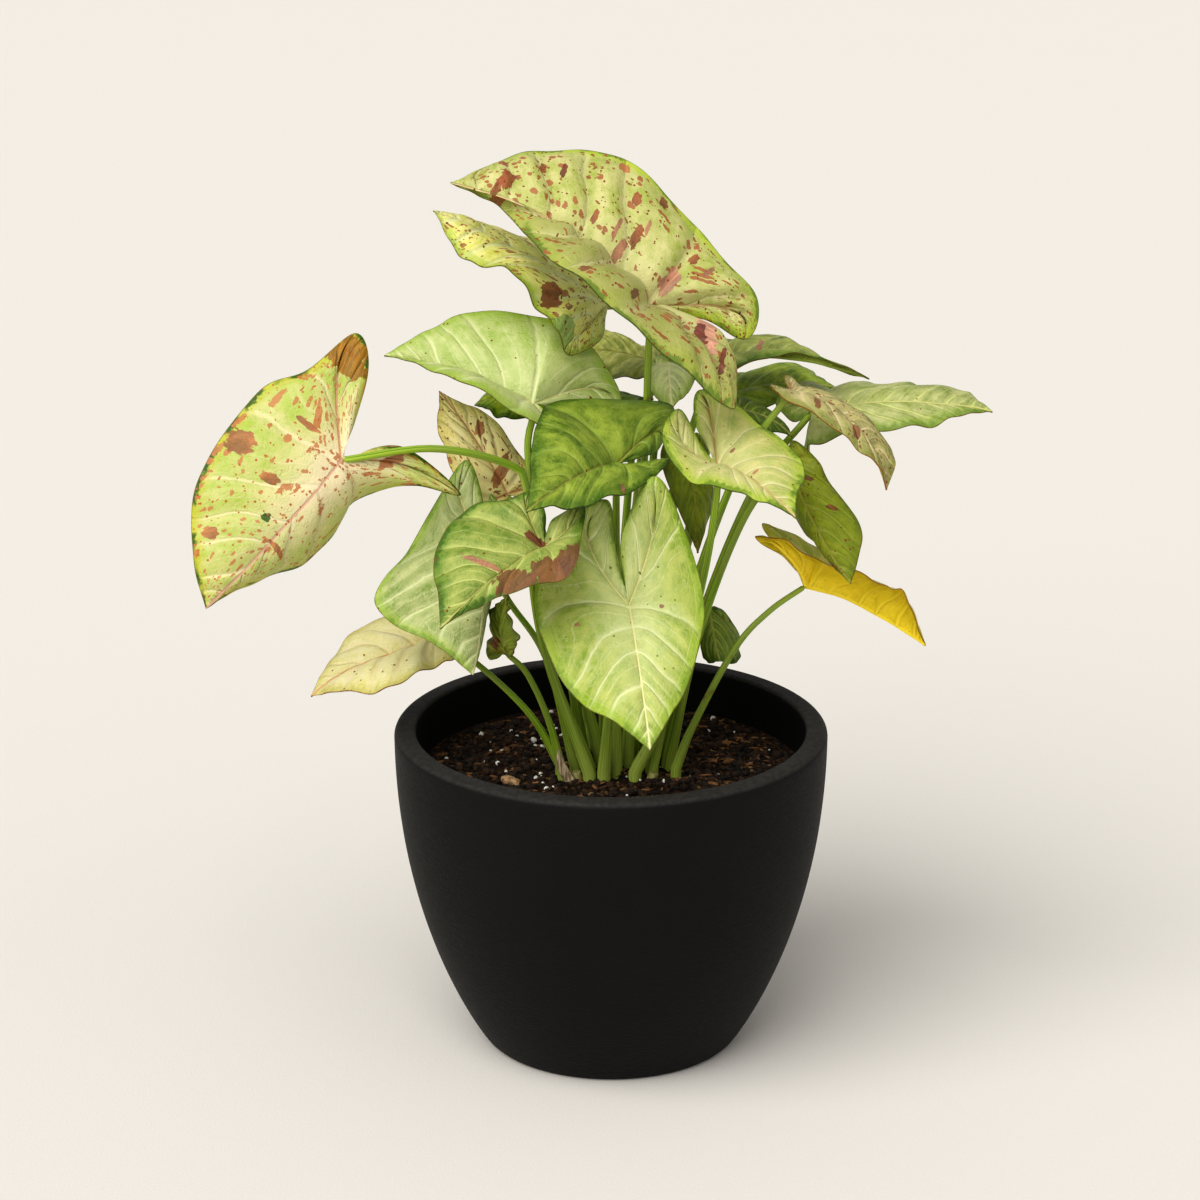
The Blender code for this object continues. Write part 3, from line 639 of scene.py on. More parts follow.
LEAVES["drooping_right"] = dict(
    root=(24, 3), heart=(72, 0, 252), tip=(96, -32, 209), arch=4,
    left=[(72, 2, 257), (75, 2, 259), (84, -4, 252), (88, -8, 245), (100, -20, 230), (99, -27, 218)],
    right=[(68, 6, 253), (64, 14, 250), (66, 17, 241), (70, 14, 236), (80, -8, 222), (89, -23, 214)])
LEAVES["yellow"] = dict(
    root=(27, -6), heart=(81, 10, 195), tip=(130, 0, 172), arch=3, stem_width=0.8, quilt=1.2,
    stem=[(34, -6, 139), (51, -4, 172), (65, 2, 186)],
    left=[(69, 18, 208), (63, 28, 216), (77, 34, 209), (88, 26, 205), (107, 18, 193), (122, 8, 184)],
    right=[(71, 10, 207), (59, 6, 217), (71, -6, 219), (84, -8, 213), (108, -10, 203), (119, -10, 198)])
LEAVES["pink_patch"] = dict(
    root=(-9, -12), heart=(-27, -52, 231), tip=(-66, -94, 211), arch=4, quilt=1.4,
    stem=[(-27, -16, 175), (-32, -28, 216)],
    left=[(-23, -44, 240), (-11, -39, 244), (-12, -59, 236), (-17, -72, 226), (-43, -80, 219),
          (-58, -89, 215)],
    right=[(-26, -44, 242), (-31, -38, 250), (-41, -40, 247), (-57, -42, 244), (-69, -63, 232),
           (-67, -83, 219)])
LEAVES["broad_left"] = dict(
    root=(-15, -4), heart=(-53, -4, 220), tip=(-55, -48, 176), arch=5, stem_width=0.8,
    stem=[(-27, 2, 166), (-43, 3, 192)],
    left=[(-51, 2, 229), (-49, 7, 235), (-45, 7, 226), (-44, 2, 211), (-50, -14, 192), (-53, -35, 182)],
    right=[(-53, 5, 236), (-59, 10, 249), (-70, 1, 236), (-82, -12, 218), (-95, -34, 201),
           (-69, -44, 186)])
LEAVES["low_left"] = dict(
    root=(-21, -2), heart=(-71, 10, 171), tip=(-124, -8, 153), arch=4, stem_width=0.8,
    stem=[(-34, -2, 143), (-56, 4, 163)],
    left=[(-64, 5, 172), (-58, -5, 173), (-64, -14, 171), (-72, -14, 169), (-89, -28, 163),
          (-112, -15, 157)],
    right=[(-65, 13, 175), (-62, 20, 181), (-72, 27, 182), (-82, 28, 179), (-109, 19, 170),
           (-119, 1, 160)])
LEAVES["curled"] = dict(
    root=(-20, -10), heart=(-43, -26, 178), tip=(-42, -17, 199), arch=3, stem_width=0.8, quilt=2.5,
    ruffle=3,
    left=[(-50, -23, 174), (-49, -18, 183)],
    right=[(-40, -31, 178), (-38, -32, 187)])
LEAVES["front"] = dict(
    root=(-3, -12), heart=(7, -40, 203), tip=(15, -88, 159), arch=5,
    left=[(4, -34, 229), (17, -31, 254), (29, -32, 232), (37, -42, 204), (32, -64, 183), (22, -80, 168)],
    right=[(2, -31, 223), (-2, -24, 242), (-21, -30, 231), (-31, -42, 206), (-19, -70, 180),
           (3, -82, 167)])
LEAVES["small_right"] = dict(
    root=(16, 4), heart=(41, 11, 184), tip=(45, 0, 165), arch=2,
    left=[(48, 15, 181), (54, 11, 167)],
    right=[(40, 15, 185), (38, 14, 166)])
LEAVES["behind_stems"] = dict(
    root=(9, 11), heart=(31, 26, 247), tip=(36, 9, 209), arch=3,
    left=[(32, 31, 251), (36, 36, 253), (40, 35, 246), (41, 30, 240), (42, 22, 226), (38, 11, 215)],
    right=[(29, 31, 251), (25, 34, 253), (21, 30, 248), (21, 24, 242), (27, 16, 227), (33, 9, 216)])
LEAVES["back_centre"] = dict(
    root=(4, 29), heart=(19, 72, 273), tip=(-23, 106, 269), arch=4,
    left=[(24, 68, 272), (27, 60, 271), (20, 53, 272), (12, 54, 273), (-3, 70, 267), (-16, 93, 269)],
    right=[(27, 76, 273), (31, 86, 273), (21, 97, 274), (11, 98, 275), (-5, 114, 277), (-17, 109, 273)])
LEAVES["back_pale"] = dict(
    root=(9, 20), heart=(24, 44, 281), tip=(25, 18, 268), arch=3,
    left=[(33, 54, 277), (35, 40, 275)],
    right=[(19, 54, 281), (16, 42, 272)])
LEAVES["shaded"] = dict(
    root=(1, 11), heart=(12, 51, 263), tip=(-18, 25, 268), arch=3,
    left=[(20, 45, 262), (9, 29, 261)],
    right=[(16, 53, 263), (18, 58, 262), (12, 63, 261), (5, 65, 261), (-5, 53, 264), (-12, 36, 267)])
LEAVES["back_left"] = dict(
    root=(-9, 23), heart=(-23, 70, 259), tip=(-57, 46, 262), arch=4,
    left=[(-17, 65, 259), (-13, 56, 258), (-18, 46, 257), (-25, 46, 256), (-43, 39, 258), (-52, 43, 261)],
    right=[(-17, 74, 259), (-13, 84, 261), (-19, 97, 265), (-27, 100, 267), (-45, 84, 264),
           (-52, 60, 264)])
LEAVES["bronze"] = dict(
    root=(-11, 5), heart=(-43, 24, 230), tip=(-71, 36, 271), arch=3,
    left=[(-42, 18, 224), (-47, 12, 222), (-58, 13, 231), (-64, 18, 239), (-71, 25, 255), (-71, 32, 266)],
    right=[(-36, 25, 227), (-29, 28, 227), (-29, 33, 235), (-35, 34, 241), (-51, 38, 260), (-64, 36, 267)])
print(len(LEAVES), "leaves")

# %% [markdown]
# A leaf's surface is a net of side veins. Each station along a half's edge has one line that runs
# from the midrib, or from the main vein of a lobe, out to the edge. Stations count first round the
# lobe and then on to the tip. The line bows up and sweeps back a little, as a real side vein does.
# A smooth line through the landmarks gives the edge, so that a few points are enough for a leaf.

# %% Smooth lines
FINE_STEPS = 200


def smooth_point(points, place):
    """A place (0 at the first point, 1 at the second) on a smooth line through points."""
    last = len(points) - 1
    start = max(0, min(last - 1, int(place)))
    t = place - start
    a = points[start]
    b = points[start + 1]
    before = points[start - 1] if start > 0 else 2 * a - b
    after = points[start + 2] if start + 2 <= last else 2 * b - a
    steep = b - before
    bend = 2 * before - 5 * a + 4 * b - after
    twist = 3 * a - before - 3 * b + after
    return 0.5 * (2 * a + steep * t + bend * t**2 + twist * t**3)


def even_points(points, count):
    """So many points, evenly spaced, on a smooth line through points."""
    fine = [smooth_point(points, (len(points) - 1) * i / FINE_STEPS) for i in range(FINE_STEPS + 1)]
    lengths = [0]
    for a, b in zip(fine, fine[1:]):
        lengths.append(lengths[-1] + (b - a).length)
    spaced = []
    k = 0
    for i in range(count):
        wanted = lengths[-1] * i / (count - 1)
        while k < FINE_STEPS - 1 and lengths[k + 1] < wanted:
            k += 1
        share = (wanted - lengths[k]) / max(1e-9, lengths[k + 1] - lengths[k])
        spaced.append(fine[k].lerp(fine[k + 1], min(1, share)))
    return spaced


# %% [markdown]
# A leaf's surface is worked out by a class that any part of the script can ask for a point. That
# way the blade, the stem and the painted marks all agree on where the leaf is.

# %% Surface of a leaf
LOBE_STATIONS = 51
POINT_STATIONS = 65
STATIONS = LOBE_STATIONS + POINT_STATIONS
LOBE_END = (LOBE_STATIONS + 1) / 2
EDGE_START = 0.35
LOBE_REACH = 0.7
TIP_CROWDING = 1.15
RIB_CROWDING = 1.84
VEIN_LAG = 1.4
VEIN_SWEEP = 0.05
BULGE = 3.0
WAVE_HEIGHT = 1.2
WAVE_COUNT = 4
FULL_WIDTH = 25
STEM_END_SINK = 0.1
STEM_SHOULDER = 2.5
HOLE_TOP = 3
STEM_POINTS = 42
STEM_DEPTH = 5


class Leaf:
    """One leaf's landmarks, in millimetres, and the smooth surface that they give."""

    def __init__(self, name, measures):
        self.name = name
        self.root = Vector((*measures["root"], SOIL_LEVEL))
        self.heart = Vector(measures["heart"])
        self.tip = Vector(measures["tip"])
        self.length = self.tip - self.heart
        self.arch = measures["arch"]
        self.stem_width = measures.get("stem_width", 1)
        self.quilt = measures.get("quilt", 1)
        self.ruffle = measures.get("ruffle", 1)
        self.bends = [Vector(point) for point in measures.get("stem", [])]
        halves = [[Vector(point) for point in measures[side]] for side in ("left", "right")]
        left_out, right_out = [self.widest(half) - self.heart for half in halves]
        self.normals = [self.length.cross(left_out).normalized(), right_out.cross(self.length).normalized()]
        self.normal = (self.normals[0] + self.normals[1]).normalized()
        self.edges = [self.edge_line(half) for half in halves]

    def widest(self, half):
        """The point where a half of the blade is widest, level with the stem."""
        return half[1] if len(half) == 2 else half[3]

    def rib(self, share):
        """A point of the midrib, which rises in a low arch from the stem to the tip."""
        return self.heart + self.length * share + self.normal * self.arch * 4 * share * (1 - share)

    def edge_line(self, half):
        """A half's edge from the stem round its lobe to the tip. A lobe's end and the widest point
        are enough for a plain half, and the others then stand at their usual places."""
        if len(half) == 2:
            lobe, widest = half
            out = widest - self.heart
            back = lobe - self.heart - 0.42 * out
            half = [self.heart + 0.55 * back + 0.10 * out, lobe, self.heart + 0.62 * back + 0.88 * out,
                    widest, self.rib(0.5) + 0.72 * out, self.rib(0.82) + 0.26 * out]
        return [self.heart, *half, self.tip]

    def lobe_rib(self, side, reach):
        """A point of a lobe's own main vein, which curves from the heart towards the lobe's end."""
        inner, lobe, outer = self.edges[side][1:4]
        bend = inner + outer - (self.heart + lobe) / 2
        return self.heart * (1 - reach) ** 2 + bend * 2 * reach * (1 - reach) + lobe * reach**2

    def side_vein(self, side, station):
        """Where a station's side vein starts and ends, and its share of the way to the tip."""
        if station <= LOBE_STATIONS:
            out = 1 - abs(station - LOBE_END) / (LOBE_END - 1)
            place = EDGE_START + (2 - EDGE_START) * out if station < LOBE_END else 4 - 2 * out
            return self.lobe_rib(side, LOBE_REACH * out), smooth_point(self.edges[side], place), 0
        left_over = 1 - (station - LOBE_STATIONS) / POINT_STATIONS
        share = 1 - left_over**RIB_CROWDING
        end = smooth_point(self.edges[side], 7 - 3 * left_over**TIP_CROWDING)
        return self.rib(share**VEIN_LAG), end, share

    def blade_point(self, side, station, across):
        """A point of the blade. Across runs from the veins (0) to the edge (1)."""
        start, end, share = self.side_vein(side, station)
        along = station / STATIONS
        bow = 4 * across * (1 - across)
        sweep = self.length * VEIN_SWEEP * bow * min(1, 4 * share) * (1 - share)
        wave = WAVE_HEIGHT * math.sin(math.tau * WAVE_COUNT * along) * across**2
        wave *= min(1, 4 * (1 - share)) * min(1, 3 * along)
        lift = (BULGE * bow + wave) * min(1, (end - start).length / FULL_WIDTH)
        return start + (end - start) * across - sweep + self.normals[side] * lift

    def flat_place(self, side, station, point):
        """A point's place on the leaf laid flat: along the midrib, and out to the left, in mm."""
        share = self.side_vein(side, station)[2]
        forward = self.length.normalized()
        left = self.normals[side].cross(forward).normalized()
        return Vector(((point - self.heart).dot(forward), (point - self.rib(share**VEIN_LAG)).dot(left), 0))

    def stem_points(self):
        """The stem's middle line, straight up out of the soil and then over to the blade."""
        low = self.root + Vector((0, 0, HOLE_TOP))
        end = self.heart - self.normal * STEM_END_SINK
        rise = end - low
        bends = self.bends or [
            low + Vector((0.25 * rise.x, 0.25 * rise.y, 0.42 * rise.z)),
            low + Vector((0.62 * rise.x, 0.62 * rise.y, 0.80 * rise.z))]
        line = even_points([low, *bends, end], STEM_POINTS)
        shoulder = end + (line[-2] - end).normalized() * STEM_SHOULDER
        deep = self.root - Vector((0, 0, STEM_DEPTH))
        return [deep, deep, *line[:-2], shoulder, end]


# %% [markdown]
# Each half of a blade starts as a flat grid: one row for every station and a column for every step
# from vein to edge, and each point of it moves to its place on the surface. The steps crowd at the
# veins, where the relief is finest. On top of the plain surface come the things that make a leaf of
# this plant look quilted: the skin swells between side veins, sinks along the midrib, and ripples
# at the edge. While the points move, the grid also notes what the paint will need: how far along
# and across each point is, its place on the leaf laid flat, and how far it is from the veins.

# %% Blade
CELLS_ACROSS = 12
VEIN_COUNT = 13
COLUMN_CROWDING = 1.4
VEIN_SLANT = 0.075
SLANT_START = 0.12
VEIN_WANDER = 0.03
PILLOW = 1.2
PLEAT_SKEW = 0.65
GROOVE = 0.4
GROOVE_WIDTH = 1.3
RIPPLE = 0.7
RIPPLE_COUNT = 9
UNEVEN = 0.9
UNEVEN_SIZE = 17
BLADE_THICKNESS = 0.45
RIB_THICKNESS = 1.5
LEAF_FINISHES = 3


def vein_place(leaf, side, station, across):
    """Which side vein a point lies on. Veins slant on towards the tip, or the lobe's end, as they
    run out, so the vein at the edge is one that left the midrib further back. They also wander."""
    along = station / STATIONS
    lobe = LOBE_STATIONS / STATIONS
    if along < lobe:
        slant = math.sin(math.tau * along / lobe)
    else:
        slant = min(1, (along - lobe) / SLANT_START)
    wander = VEIN_WANDER * noise.noise(Vector((9 * along, 1.5 * across, leaf.root.x + 5 * side)))
    return along - VEIN_SLANT * slant * across + wander


def blade_relief(leaf, side, station, across, width, gap, point):
    """How far a point of the blade moves off the plain surface."""
    along = station / STATIONS
    share = leaf.side_vein(side, station)[2]
    full = min(1, width / FULL_WIDTH)
    place = vein_place(leaf, side, station, across)
    swell = math.sin(math.pi * (VEIN_COUNT * place % 1) ** PLEAT_SKEW) * min(1, gap / 7)
    swell *= PILLOW * leaf.quilt
    swell *= min(1, 5 * across) * min(1, 4 * (1 - across)) * full
    ripple = RIPPLE * math.sin(math.tau * RIPPLE_COUNT * along + leaf.root.x) * across**3 * full
    ripple *= leaf.ruffle
    groove = GROOVE * math.exp(-((across * width / GROOVE_WIDTH) ** 2)) * (1 - share)
    drift = UNEVEN * noise.noise(point / UNEVEN_SIZE)
    return leaf.normals[side] * (swell + ripple) + leaf.normal * (drift - groove)


def flat_grid(bm, rows, columns):
    """A flat grid, given as the row and the column of each of its points."""
    grid = bmesh.ops.create_grid(bm, x_segments=rows - 1, y_segments=columns - 1, size=1)["verts"]
    return {
        vertex: (round((vertex.co.x + 1) / 2 * (rows - 1)), round((vertex.co.y + 1) / 2 * (columns - 1)))
        for vertex in grid}


def note_map(bm, places):
    """Writes the place of each of a grid's points in the leaf's map, and gives the grid's faces."""
    uv_layer = bm.loops.layers.uv["leaf"]
    faces = list({face for vertex in places for face in vertex.link_faces})
    for face in faces:
        for loop in face.loops:
            loop[uv_layer].uv = places[loop.vert]
    return faces


def half_blade(bm, leaf, side):
    """One half of a blade, a grid laid on the leaf's surface with what the paint needs."""
    columns = [(j / CELLS_ACROSS) ** COLUMN_CROWDING for j in range(CELLS_ACROSS + 1)]
    points = [[leaf.blade_point(side, i, across) for across in columns] for i in range(1, STATIONS + 1)]
    grid = flat_grid(bm, STATIONS, CELLS_ACROSS + 1)
    flat_layer = bm.verts.layers.float_vector["flat"]
    reach_layer = bm.verts.layers.float_vector["reach"]
    rib_layer = bm.verts.layers.deform.active
    places = {}
    for vertex, (i, j) in grid.items():
        before = points[max(0, i - 1)][j]
        after = points[min(STATIONS - 1, i + 1)][j]
        gap = (after - before).length / (min(STATIONS - 1, i + 1) - max(0, i - 1)) * STATIONS / VEIN_COUNT
        start, end, share = leaf.side_vein(side, i + 1)
        width = (end - start).length
        near_rib = math.exp(-((columns[j] * width / GROOVE_WIDTH) ** 2))
        thin_out = share if share else 1 - abs(i + 1 - LOBE_END) / (LOBE_END - 1)
        vertex[flat_layer] = leaf.flat_place(side, i + 1, points[i][j])
        vertex[reach_layer] = (columns[j] * width, (1 - columns[j]) * width, gap)
        plain = BLADE_THICKNESS / RIB_THICKNESS
        vertex[rib_layer][0] = plain + (1 - plain) * near_rib * (1 - 0.85 * thin_out)
        move = blade_relief(leaf, side, i + 1, columns[j], width, gap, points[i][j])
        sideways = 0.5 + 0.5 * columns[j] * (1 if side == 0 else -1)
        places[vertex] = (vein_place(leaf, side, i + 1, columns[j]), sideways)
        vertex.co = (points[i][j] + move) * MM
    faces = note_map(bm, places)
    if side == 1:
        bmesh.ops.reverse_faces(bm, faces=faces)


def blade_shape(leaf):
    """A bmesh of a whole blade with its thickness. Its underside has the second finish."""
    bm = bmesh.new()
    bm.verts.layers.float_vector.new("flat")
    bm.verts.layers.float_vector.new("reach")
    bm.verts.layers.deform.new("rib")
    bm.loops.layers.uv.new("leaf")
    half_blade(bm, leaf, 0)
    half_blade(bm, leaf, 1)
    bmesh.ops.remove_doubles(bm, verts=bm.verts, dist=MERGE_REACH)
    blade = new_object("blade", bm, [None] * LEAF_FINISHES)
    blade.vertex_groups.new(name="rib")
    thickness = blade.modifiers.new("Thickness", "SOLIDIFY")
    thickness.thickness = RIB_THICKNESS * MM
    thickness.offset = -1
    thickness.vertex_group = "rib"
    thickness.material_offset = 1
    graph = bpy.context.evaluated_depsgraph_get()
    solid = bpy.data.meshes.new_from_object(
        blade.evaluated_get(graph), preserve_all_data_layers=True, depsgraph=graph)
    bpy.data.objects.remove(blade)
    bm = bmesh.new()
    bm.from_mesh(solid)
    bpy.data.meshes.remove(solid)
    return bm


# %% [markdown]
# A stem is a tube that tapers from the soil to the blade and closes at both ends. It starts as a
# flat grid too, one row for each point of its middle line, and the grid is rolled up round that
# line. Each ring takes its direction from the ring below, which keeps the tube from twisting.

# %% Stem
STEM_BASE_RADIUS = 2.1
STEM_TOP_RADIUS = 1.4
STEM_SIDES = 18
FOOT_SWELL = 0.8
STEM_SKIN = 2


def stem_radii(count):
    """The radius at each point of the middle line, nothing at both ends."""
    radii = []
    for i in range(count):
        share = i / (count - 2)
        swollen = FOOT_SWELL * math.exp(-((i / 8) ** 2))
        radii.append(STEM_BASE_RADIUS + (STEM_TOP_RADIUS - STEM_BASE_RADIUS) * share + swollen)
    radii[0] = 0
    radii[-1] = 0
    return radii


def roll_stem(bm, leaf):
    """Adds a leaf's stem to the bmesh of its blade."""
    line = leaf.stem_points()
    radii = [leaf.stem_width * radius for radius in stem_radii(len(line))]
    grid = flat_grid(bm, len(line), STEM_SIDES + 1)
    side = Vector((1, 0, 0))
    rings = []
    for i, point in enumerate(line):
        forward = (line[min(i + 1, len(line) - 1)] - line[max(i - 1, 0)]).normalized()
        side = (side - forward * side.dot(forward)).normalized()
        rings.append((point, side, side.cross(forward), radii[i]))
    places = {}
    for vertex, (i, j) in grid.items():
        point, right, front, radius = rings[i]
        angle = math.tau * j / STEM_SIDES
        places[vertex] = (i / len(line), j / STEM_SIDES)
        vertex.co = (point + (right * math.cos(angle) + front * math.sin(angle)) * radius) * MM
    for face in note_map(bm, places):
        face.material_index = STEM_SKIN
    bmesh.ops.remove_doubles(bm, verts=list(grid), dist=MERGE_REACH)


# %% [markdown]
# The paint of a leaf is built in two steps. First, one group of nodes finds out where things are on
# any leaf: the midrib, the side veins and the fine net between them, the band along the edge, and
# the cells where chance puts a fleck or a speck. It reads the notes that the grid took, so a vein is
# about a millimetre wide on a large leaf and on a small one. It only gives masks from 0 to 1, with
# no colour, so all leaves can share it.

# %% Pattern shared by all leaves
VEIN_WIDTH = 0.8
RIB_WIDTH = 0.85
LINE_WIDTH = 0.85
RIM_WIDTH = 5
BAND_WIDTH = 8.5
COLLAR_PLACE = 3.4
HEART_REACH = 40
NET_STRETCH = (3.2, 8, 1)
NET_SHAKE = (0.4, 0.12, 0)
FLECK_STRETCH = (5.6, 13, 1)
FLECK_SHAKE = (0.16, 0.05, 0)
SPECK_STRETCH = (0.55, 0.55, 1)
STREAK_STRETCH = (3.5, 1.6, 1)


def new_group(name, inputs):
    """An empty group of nodes, and what its named inputs give."""
    tree = bpy.data.node_groups.new(name, "ShaderNodeTree")
    for socket, kind in inputs.items():
        tree.interface.new_socket(name=socket, in_out="INPUT", socket_type=kind)
    given = tree.nodes.new("NodeGroupInput")
    return tree, {socket.name: Value(socket) for socket in given.outputs}


def end_group(tree, results):
    """Gives a group of nodes its named outputs."""
    for socket in results:
        tree.interface.new_socket(name=socket, in_out="OUTPUT", socket_type="NodeSocketFloat")
    feed(tree.nodes.new("NodeGroupOutput"), results)
    return tree


def leaf_map(tree):
    """The map of a leaf: which side vein, and how far out."""
    return add_node(tree, "ShaderNodeUVMap", {"uv_map": "leaf"}, {})[0]


def note(tree, name):
    """One of the notes that the grid took."""
    return add_node(tree, "ShaderNodeAttribute", {"attribute_name": name}, {})["Vector"]


def edge_masks(place, from_edge, ragged):
    """The greener band at the edge, the dark rim on parts of it, and the thin line of the edge."""
    uneven_edge = ragged * 5 + from_edge
    parts = soft_step(grain(place, 0.07, 1), 0.42, 0.52)
    return {
        "Band": soft_step(uneven_edge, BAND_WIDTH, 3.0),
        "Rim": soft_step(uneven_edge, RIM_WIDTH, 3.6) * parts,
        "Line": soft_step(ragged * 0.7 + from_edge, LINE_WIDTH, 0.35)}


def chance_masks(place, nudged, cloud):
    """How likely each cell of the net is a patch, each part of it a fleck, and each dot a speck."""
    crowding = soft_step(cloud, 0.3, 0.5) * 0.5 + 0.5
    distance, pick, _ = cells(stretched(nudged, NET_STRETCH), metric="CHEBYCHEV", randomness=0.9)
    patch = pick * (distance < 0.42) * crowding
    distance, pick, hue = cells(stretched(nudged, FLECK_STRETCH), randomness=0.95)
    fleck = pick * (distance < hue**2 * 0.34 + 0.19) * crowding
    distance, pick, size = cells(stretched(place, SPECK_STRETCH))
    speck = pick * (distance < size * 0.2 + 0.1)
    return {"Patch": patch, "Fleck": fleck, "Hue": hue, "Speck": speck}


def leaf_pattern():
    """Where veins, bands, flecks and specks are on a leaf."""
    tree, given = new_group("leaf pattern", {"Seed": "NodeSocketFloat"})
    along, sideways, _ = split(leaf_map(tree))
    from_rib, from_edge, gap = split(note(tree, "reach"))
    across = abs(sideways - 0.5) * 2
    flat = note(tree, "flat")
    place = vector_maths("ADD", flat, given["Seed"])

    cloud = grain(place, 0.13, detail=7, crisp=0.66)
    ragged = grain(place, 0.5, 3)
    vein_place = along * VEIN_COUNT + (grain(place, 0.2, 2) - 0.5) * 0.12
    vein_distance = vein_place.maths("PINGPONG", 0.5) * gap
    between = (vein_place + 0.5).maths("PINGPONG", 0.5) * gap + ragged * 0.5
    fading = across * -0.45 + 1
    minor = soft_step(between, 0.7, 0.3) * 0.5 * fading
    rib = soft_step(from_rib, RIB_WIDTH, 0.25)
    collar = soft_step(abs(from_edge - COLLAR_PLACE) + ragged * 0.8, 0.85, 0.35)

    blocks = add_node(tree, "ShaderNodeCombineXYZ", {}, {
        "X": vein_place, "Y": across, "Z": given["Seed"]})[0]
    jitter = add_node(tree, "ShaderNodeTexNoise", {}, {
        "Vector": place, "Scale": 0.5, "Detail": 3})["Color"]
    shaken = vector_maths("MULTIPLY_ADD", jitter, NET_SHAKE, blocks)
    nudged = vector_maths("MULTIPLY_ADD", jitter, FLECK_SHAKE, blocks)
    border = add_node(tree, "ShaderNodeTexVoronoi", {"feature": "DISTANCE_TO_EDGE"}, {
        "Vector": stretched(shaken, NET_STRETCH), "Scale": 1})[0]
    net = (soft_step(border, 0.14, 0) * soft_step(cloud, 0.6, 0.4)).larger(collar)
    streak = grain(stretched(blocks, STREAK_STRETCH), 1, detail=6, crisp=0.62)

    hollows = (soft_step(vein_distance, 1.9, 0) * 0.8).larger(rib * 0.5).larger(net * 0.25)
    from_heart = vector_maths("LENGTH", stretched(flat, (0.45, 1.3, 1)))
    return end_group(tree, {
        "Left": sideways > 0.5, "Rib": rib, "Net": net,
        "Veins": (soft_step(vein_distance, VEIN_WIDTH, 0.15) * fading).larger(minor),
        "Glow": soft_step(ragged * 2.2 + vein_distance, 4.2, 1.0),
        "Heart": soft_step(streak * 18 + from_heart, HEART_REACH, 10),
        "Cloud": soft_step(cloud, 0.34, 0.66), "Streak": soft_step(streak, 0.36, 0.64),
        "Height": grain(place, 1.1, 4) * 0.6 + 0.7 - hollows,
        **edge_masks(place, from_edge, ragged), **chance_masks(place, nudged, cloud)})


pattern_tree = leaf_pattern()
print("pattern", len(pattern_tree.nodes), "nodes")

# %% [markdown]
# A second group draws one mark at a chosen place, for the large patches that make each leaf
# different. Its size and turn are in the leaf's own flat millimetres. Noise frays its border, and
# the distance is measured half as a square and half as a circle, because the patches follow veins.

# %% Mark group


def mark_group():
    """One frayed patch on a leaf."""
    tree, given = new_group("leaf mark", {
        "Centre": "NodeSocketVector", "Turn": "NodeSocketFloat", "Size": "NodeSocketVector"})
    offset = vector_maths("SUBTRACT", note(tree, "flat"), given["Centre"])
    settings = {"rotation_type": "Z_AXIS", "invert": True}
    sources = {"Vector": offset, "Angle": given["Turn"]}
    turned_place = add_node(tree, "ShaderNodeVectorRotate", settings, sources)[0]
    place = vector_maths("DIVIDE", turned_place, given["Size"])
    x, y, _ = split(place)
    distance = (abs(x).larger(abs(y)) + vector_maths("LENGTH", place)) * 0.5
    fringe = grain(stretched(turned_place, (0.22, 0.6, 1)), 1, 4)
    return end_group(tree, {"Mask": soft_step(distance + fringe * 1.5 - 0.75, 0.98, 0.88)})


mark_tree = mark_group()
print("mark", len(mark_tree.nodes), "nodes")

# %% [markdown]
# The second step gives a leaf its colours. Seven palettes go from cream to deep green, one for each
# sort of leaf on this plant. A palette names colours, and how strongly each layer shows, from 0 to 1.

# %% Palettes
TERRACOTTA = (176, 112, 70)
BRICK = (148, 82, 50)
RUST = (122, 68, 28)
ROSE = (172, 120, 94)
PALE_ROSE = (206, 150, 126)
BROWN_PINK = (126, 82, 50)
ORANGE_BROWN = (164, 114, 34)
DARK_RED = (118, 56, 42)
BOTTLE_GREEN = (48, 92, 16)
SHARED = dict(fleck=TERRACOTTA, speck=RUST, flecks=0)
PALETTES = {
    "cream": dict(
        vein=(230, 222, 172), rib=(214, 186, 140), band=(176, 196, 44), rim=(70, 108, 12),
        line=(74, 88, 16), under=(140, 154, 76), bands=0.85, net=0.1, heart=0.4),
    "pale": dict(
        vein=(226, 230, 176), rib=(222, 218, 162), band=(150, 180, 40), rim=(84, 122, 16),
        line=(104, 102, 22), under=(146, 162, 78), specks=0.12, bands=0.6, rims=0.3, veins=0.8, net=0.22,
        heart=0.35),
    "mid": dict(
        vein=(208, 214, 132), rib=(196, 194, 118), band=(84, 124, 18), rim=(48, 86, 6), line=(96, 84, 22),
        under=(118, 134, 40), specks=0.1, bands=0.7, rims=0.7, veins=0.6, net=0.2, heart=0.2),
    "deep": dict(
        vein=(162, 184, 84), rib=(160, 160, 82), band=(66, 106, 10), rim=(38, 72, 4), line=(50, 66, 10),
        under=(84, 104, 20), specks=0.03, bands=0.5, rims=0.6, veins=0.5, net=0.18, heart=0.1),
    "olive": dict(
        vein=(160, 168, 68), rib=(150, 146, 60), band=(92, 108, 10), rim=(62, 80, 6), line=(86, 66, 16),
        under=(96, 108, 18), specks=0.15, bands=0.5, rims=0.4, veins=0.5, net=0.2, heart=0.1),
    "yellow": dict(
        vein=(214, 208, 110), rib=(206, 200, 96), band=(196, 170, 14), rim=(120, 140, 20),
        line=(150, 104, 10), specks=0.1, bands=0.4, rims=0.3, veins=0.6, net=0.2, heart=0.1),
    "bronze": dict(
        vein=(232, 212, 164), rib=(214, 158, 124), band=(190, 180, 58), rim=(130, 130, 30),
        line=(132, 92, 30), under=(158, 144, 62), specks=0.3, bands=0.5, rims=0.2, veins=0.5, net=0.15,
        heart=0.2),
}
print(len(PALETTES), "palettes")
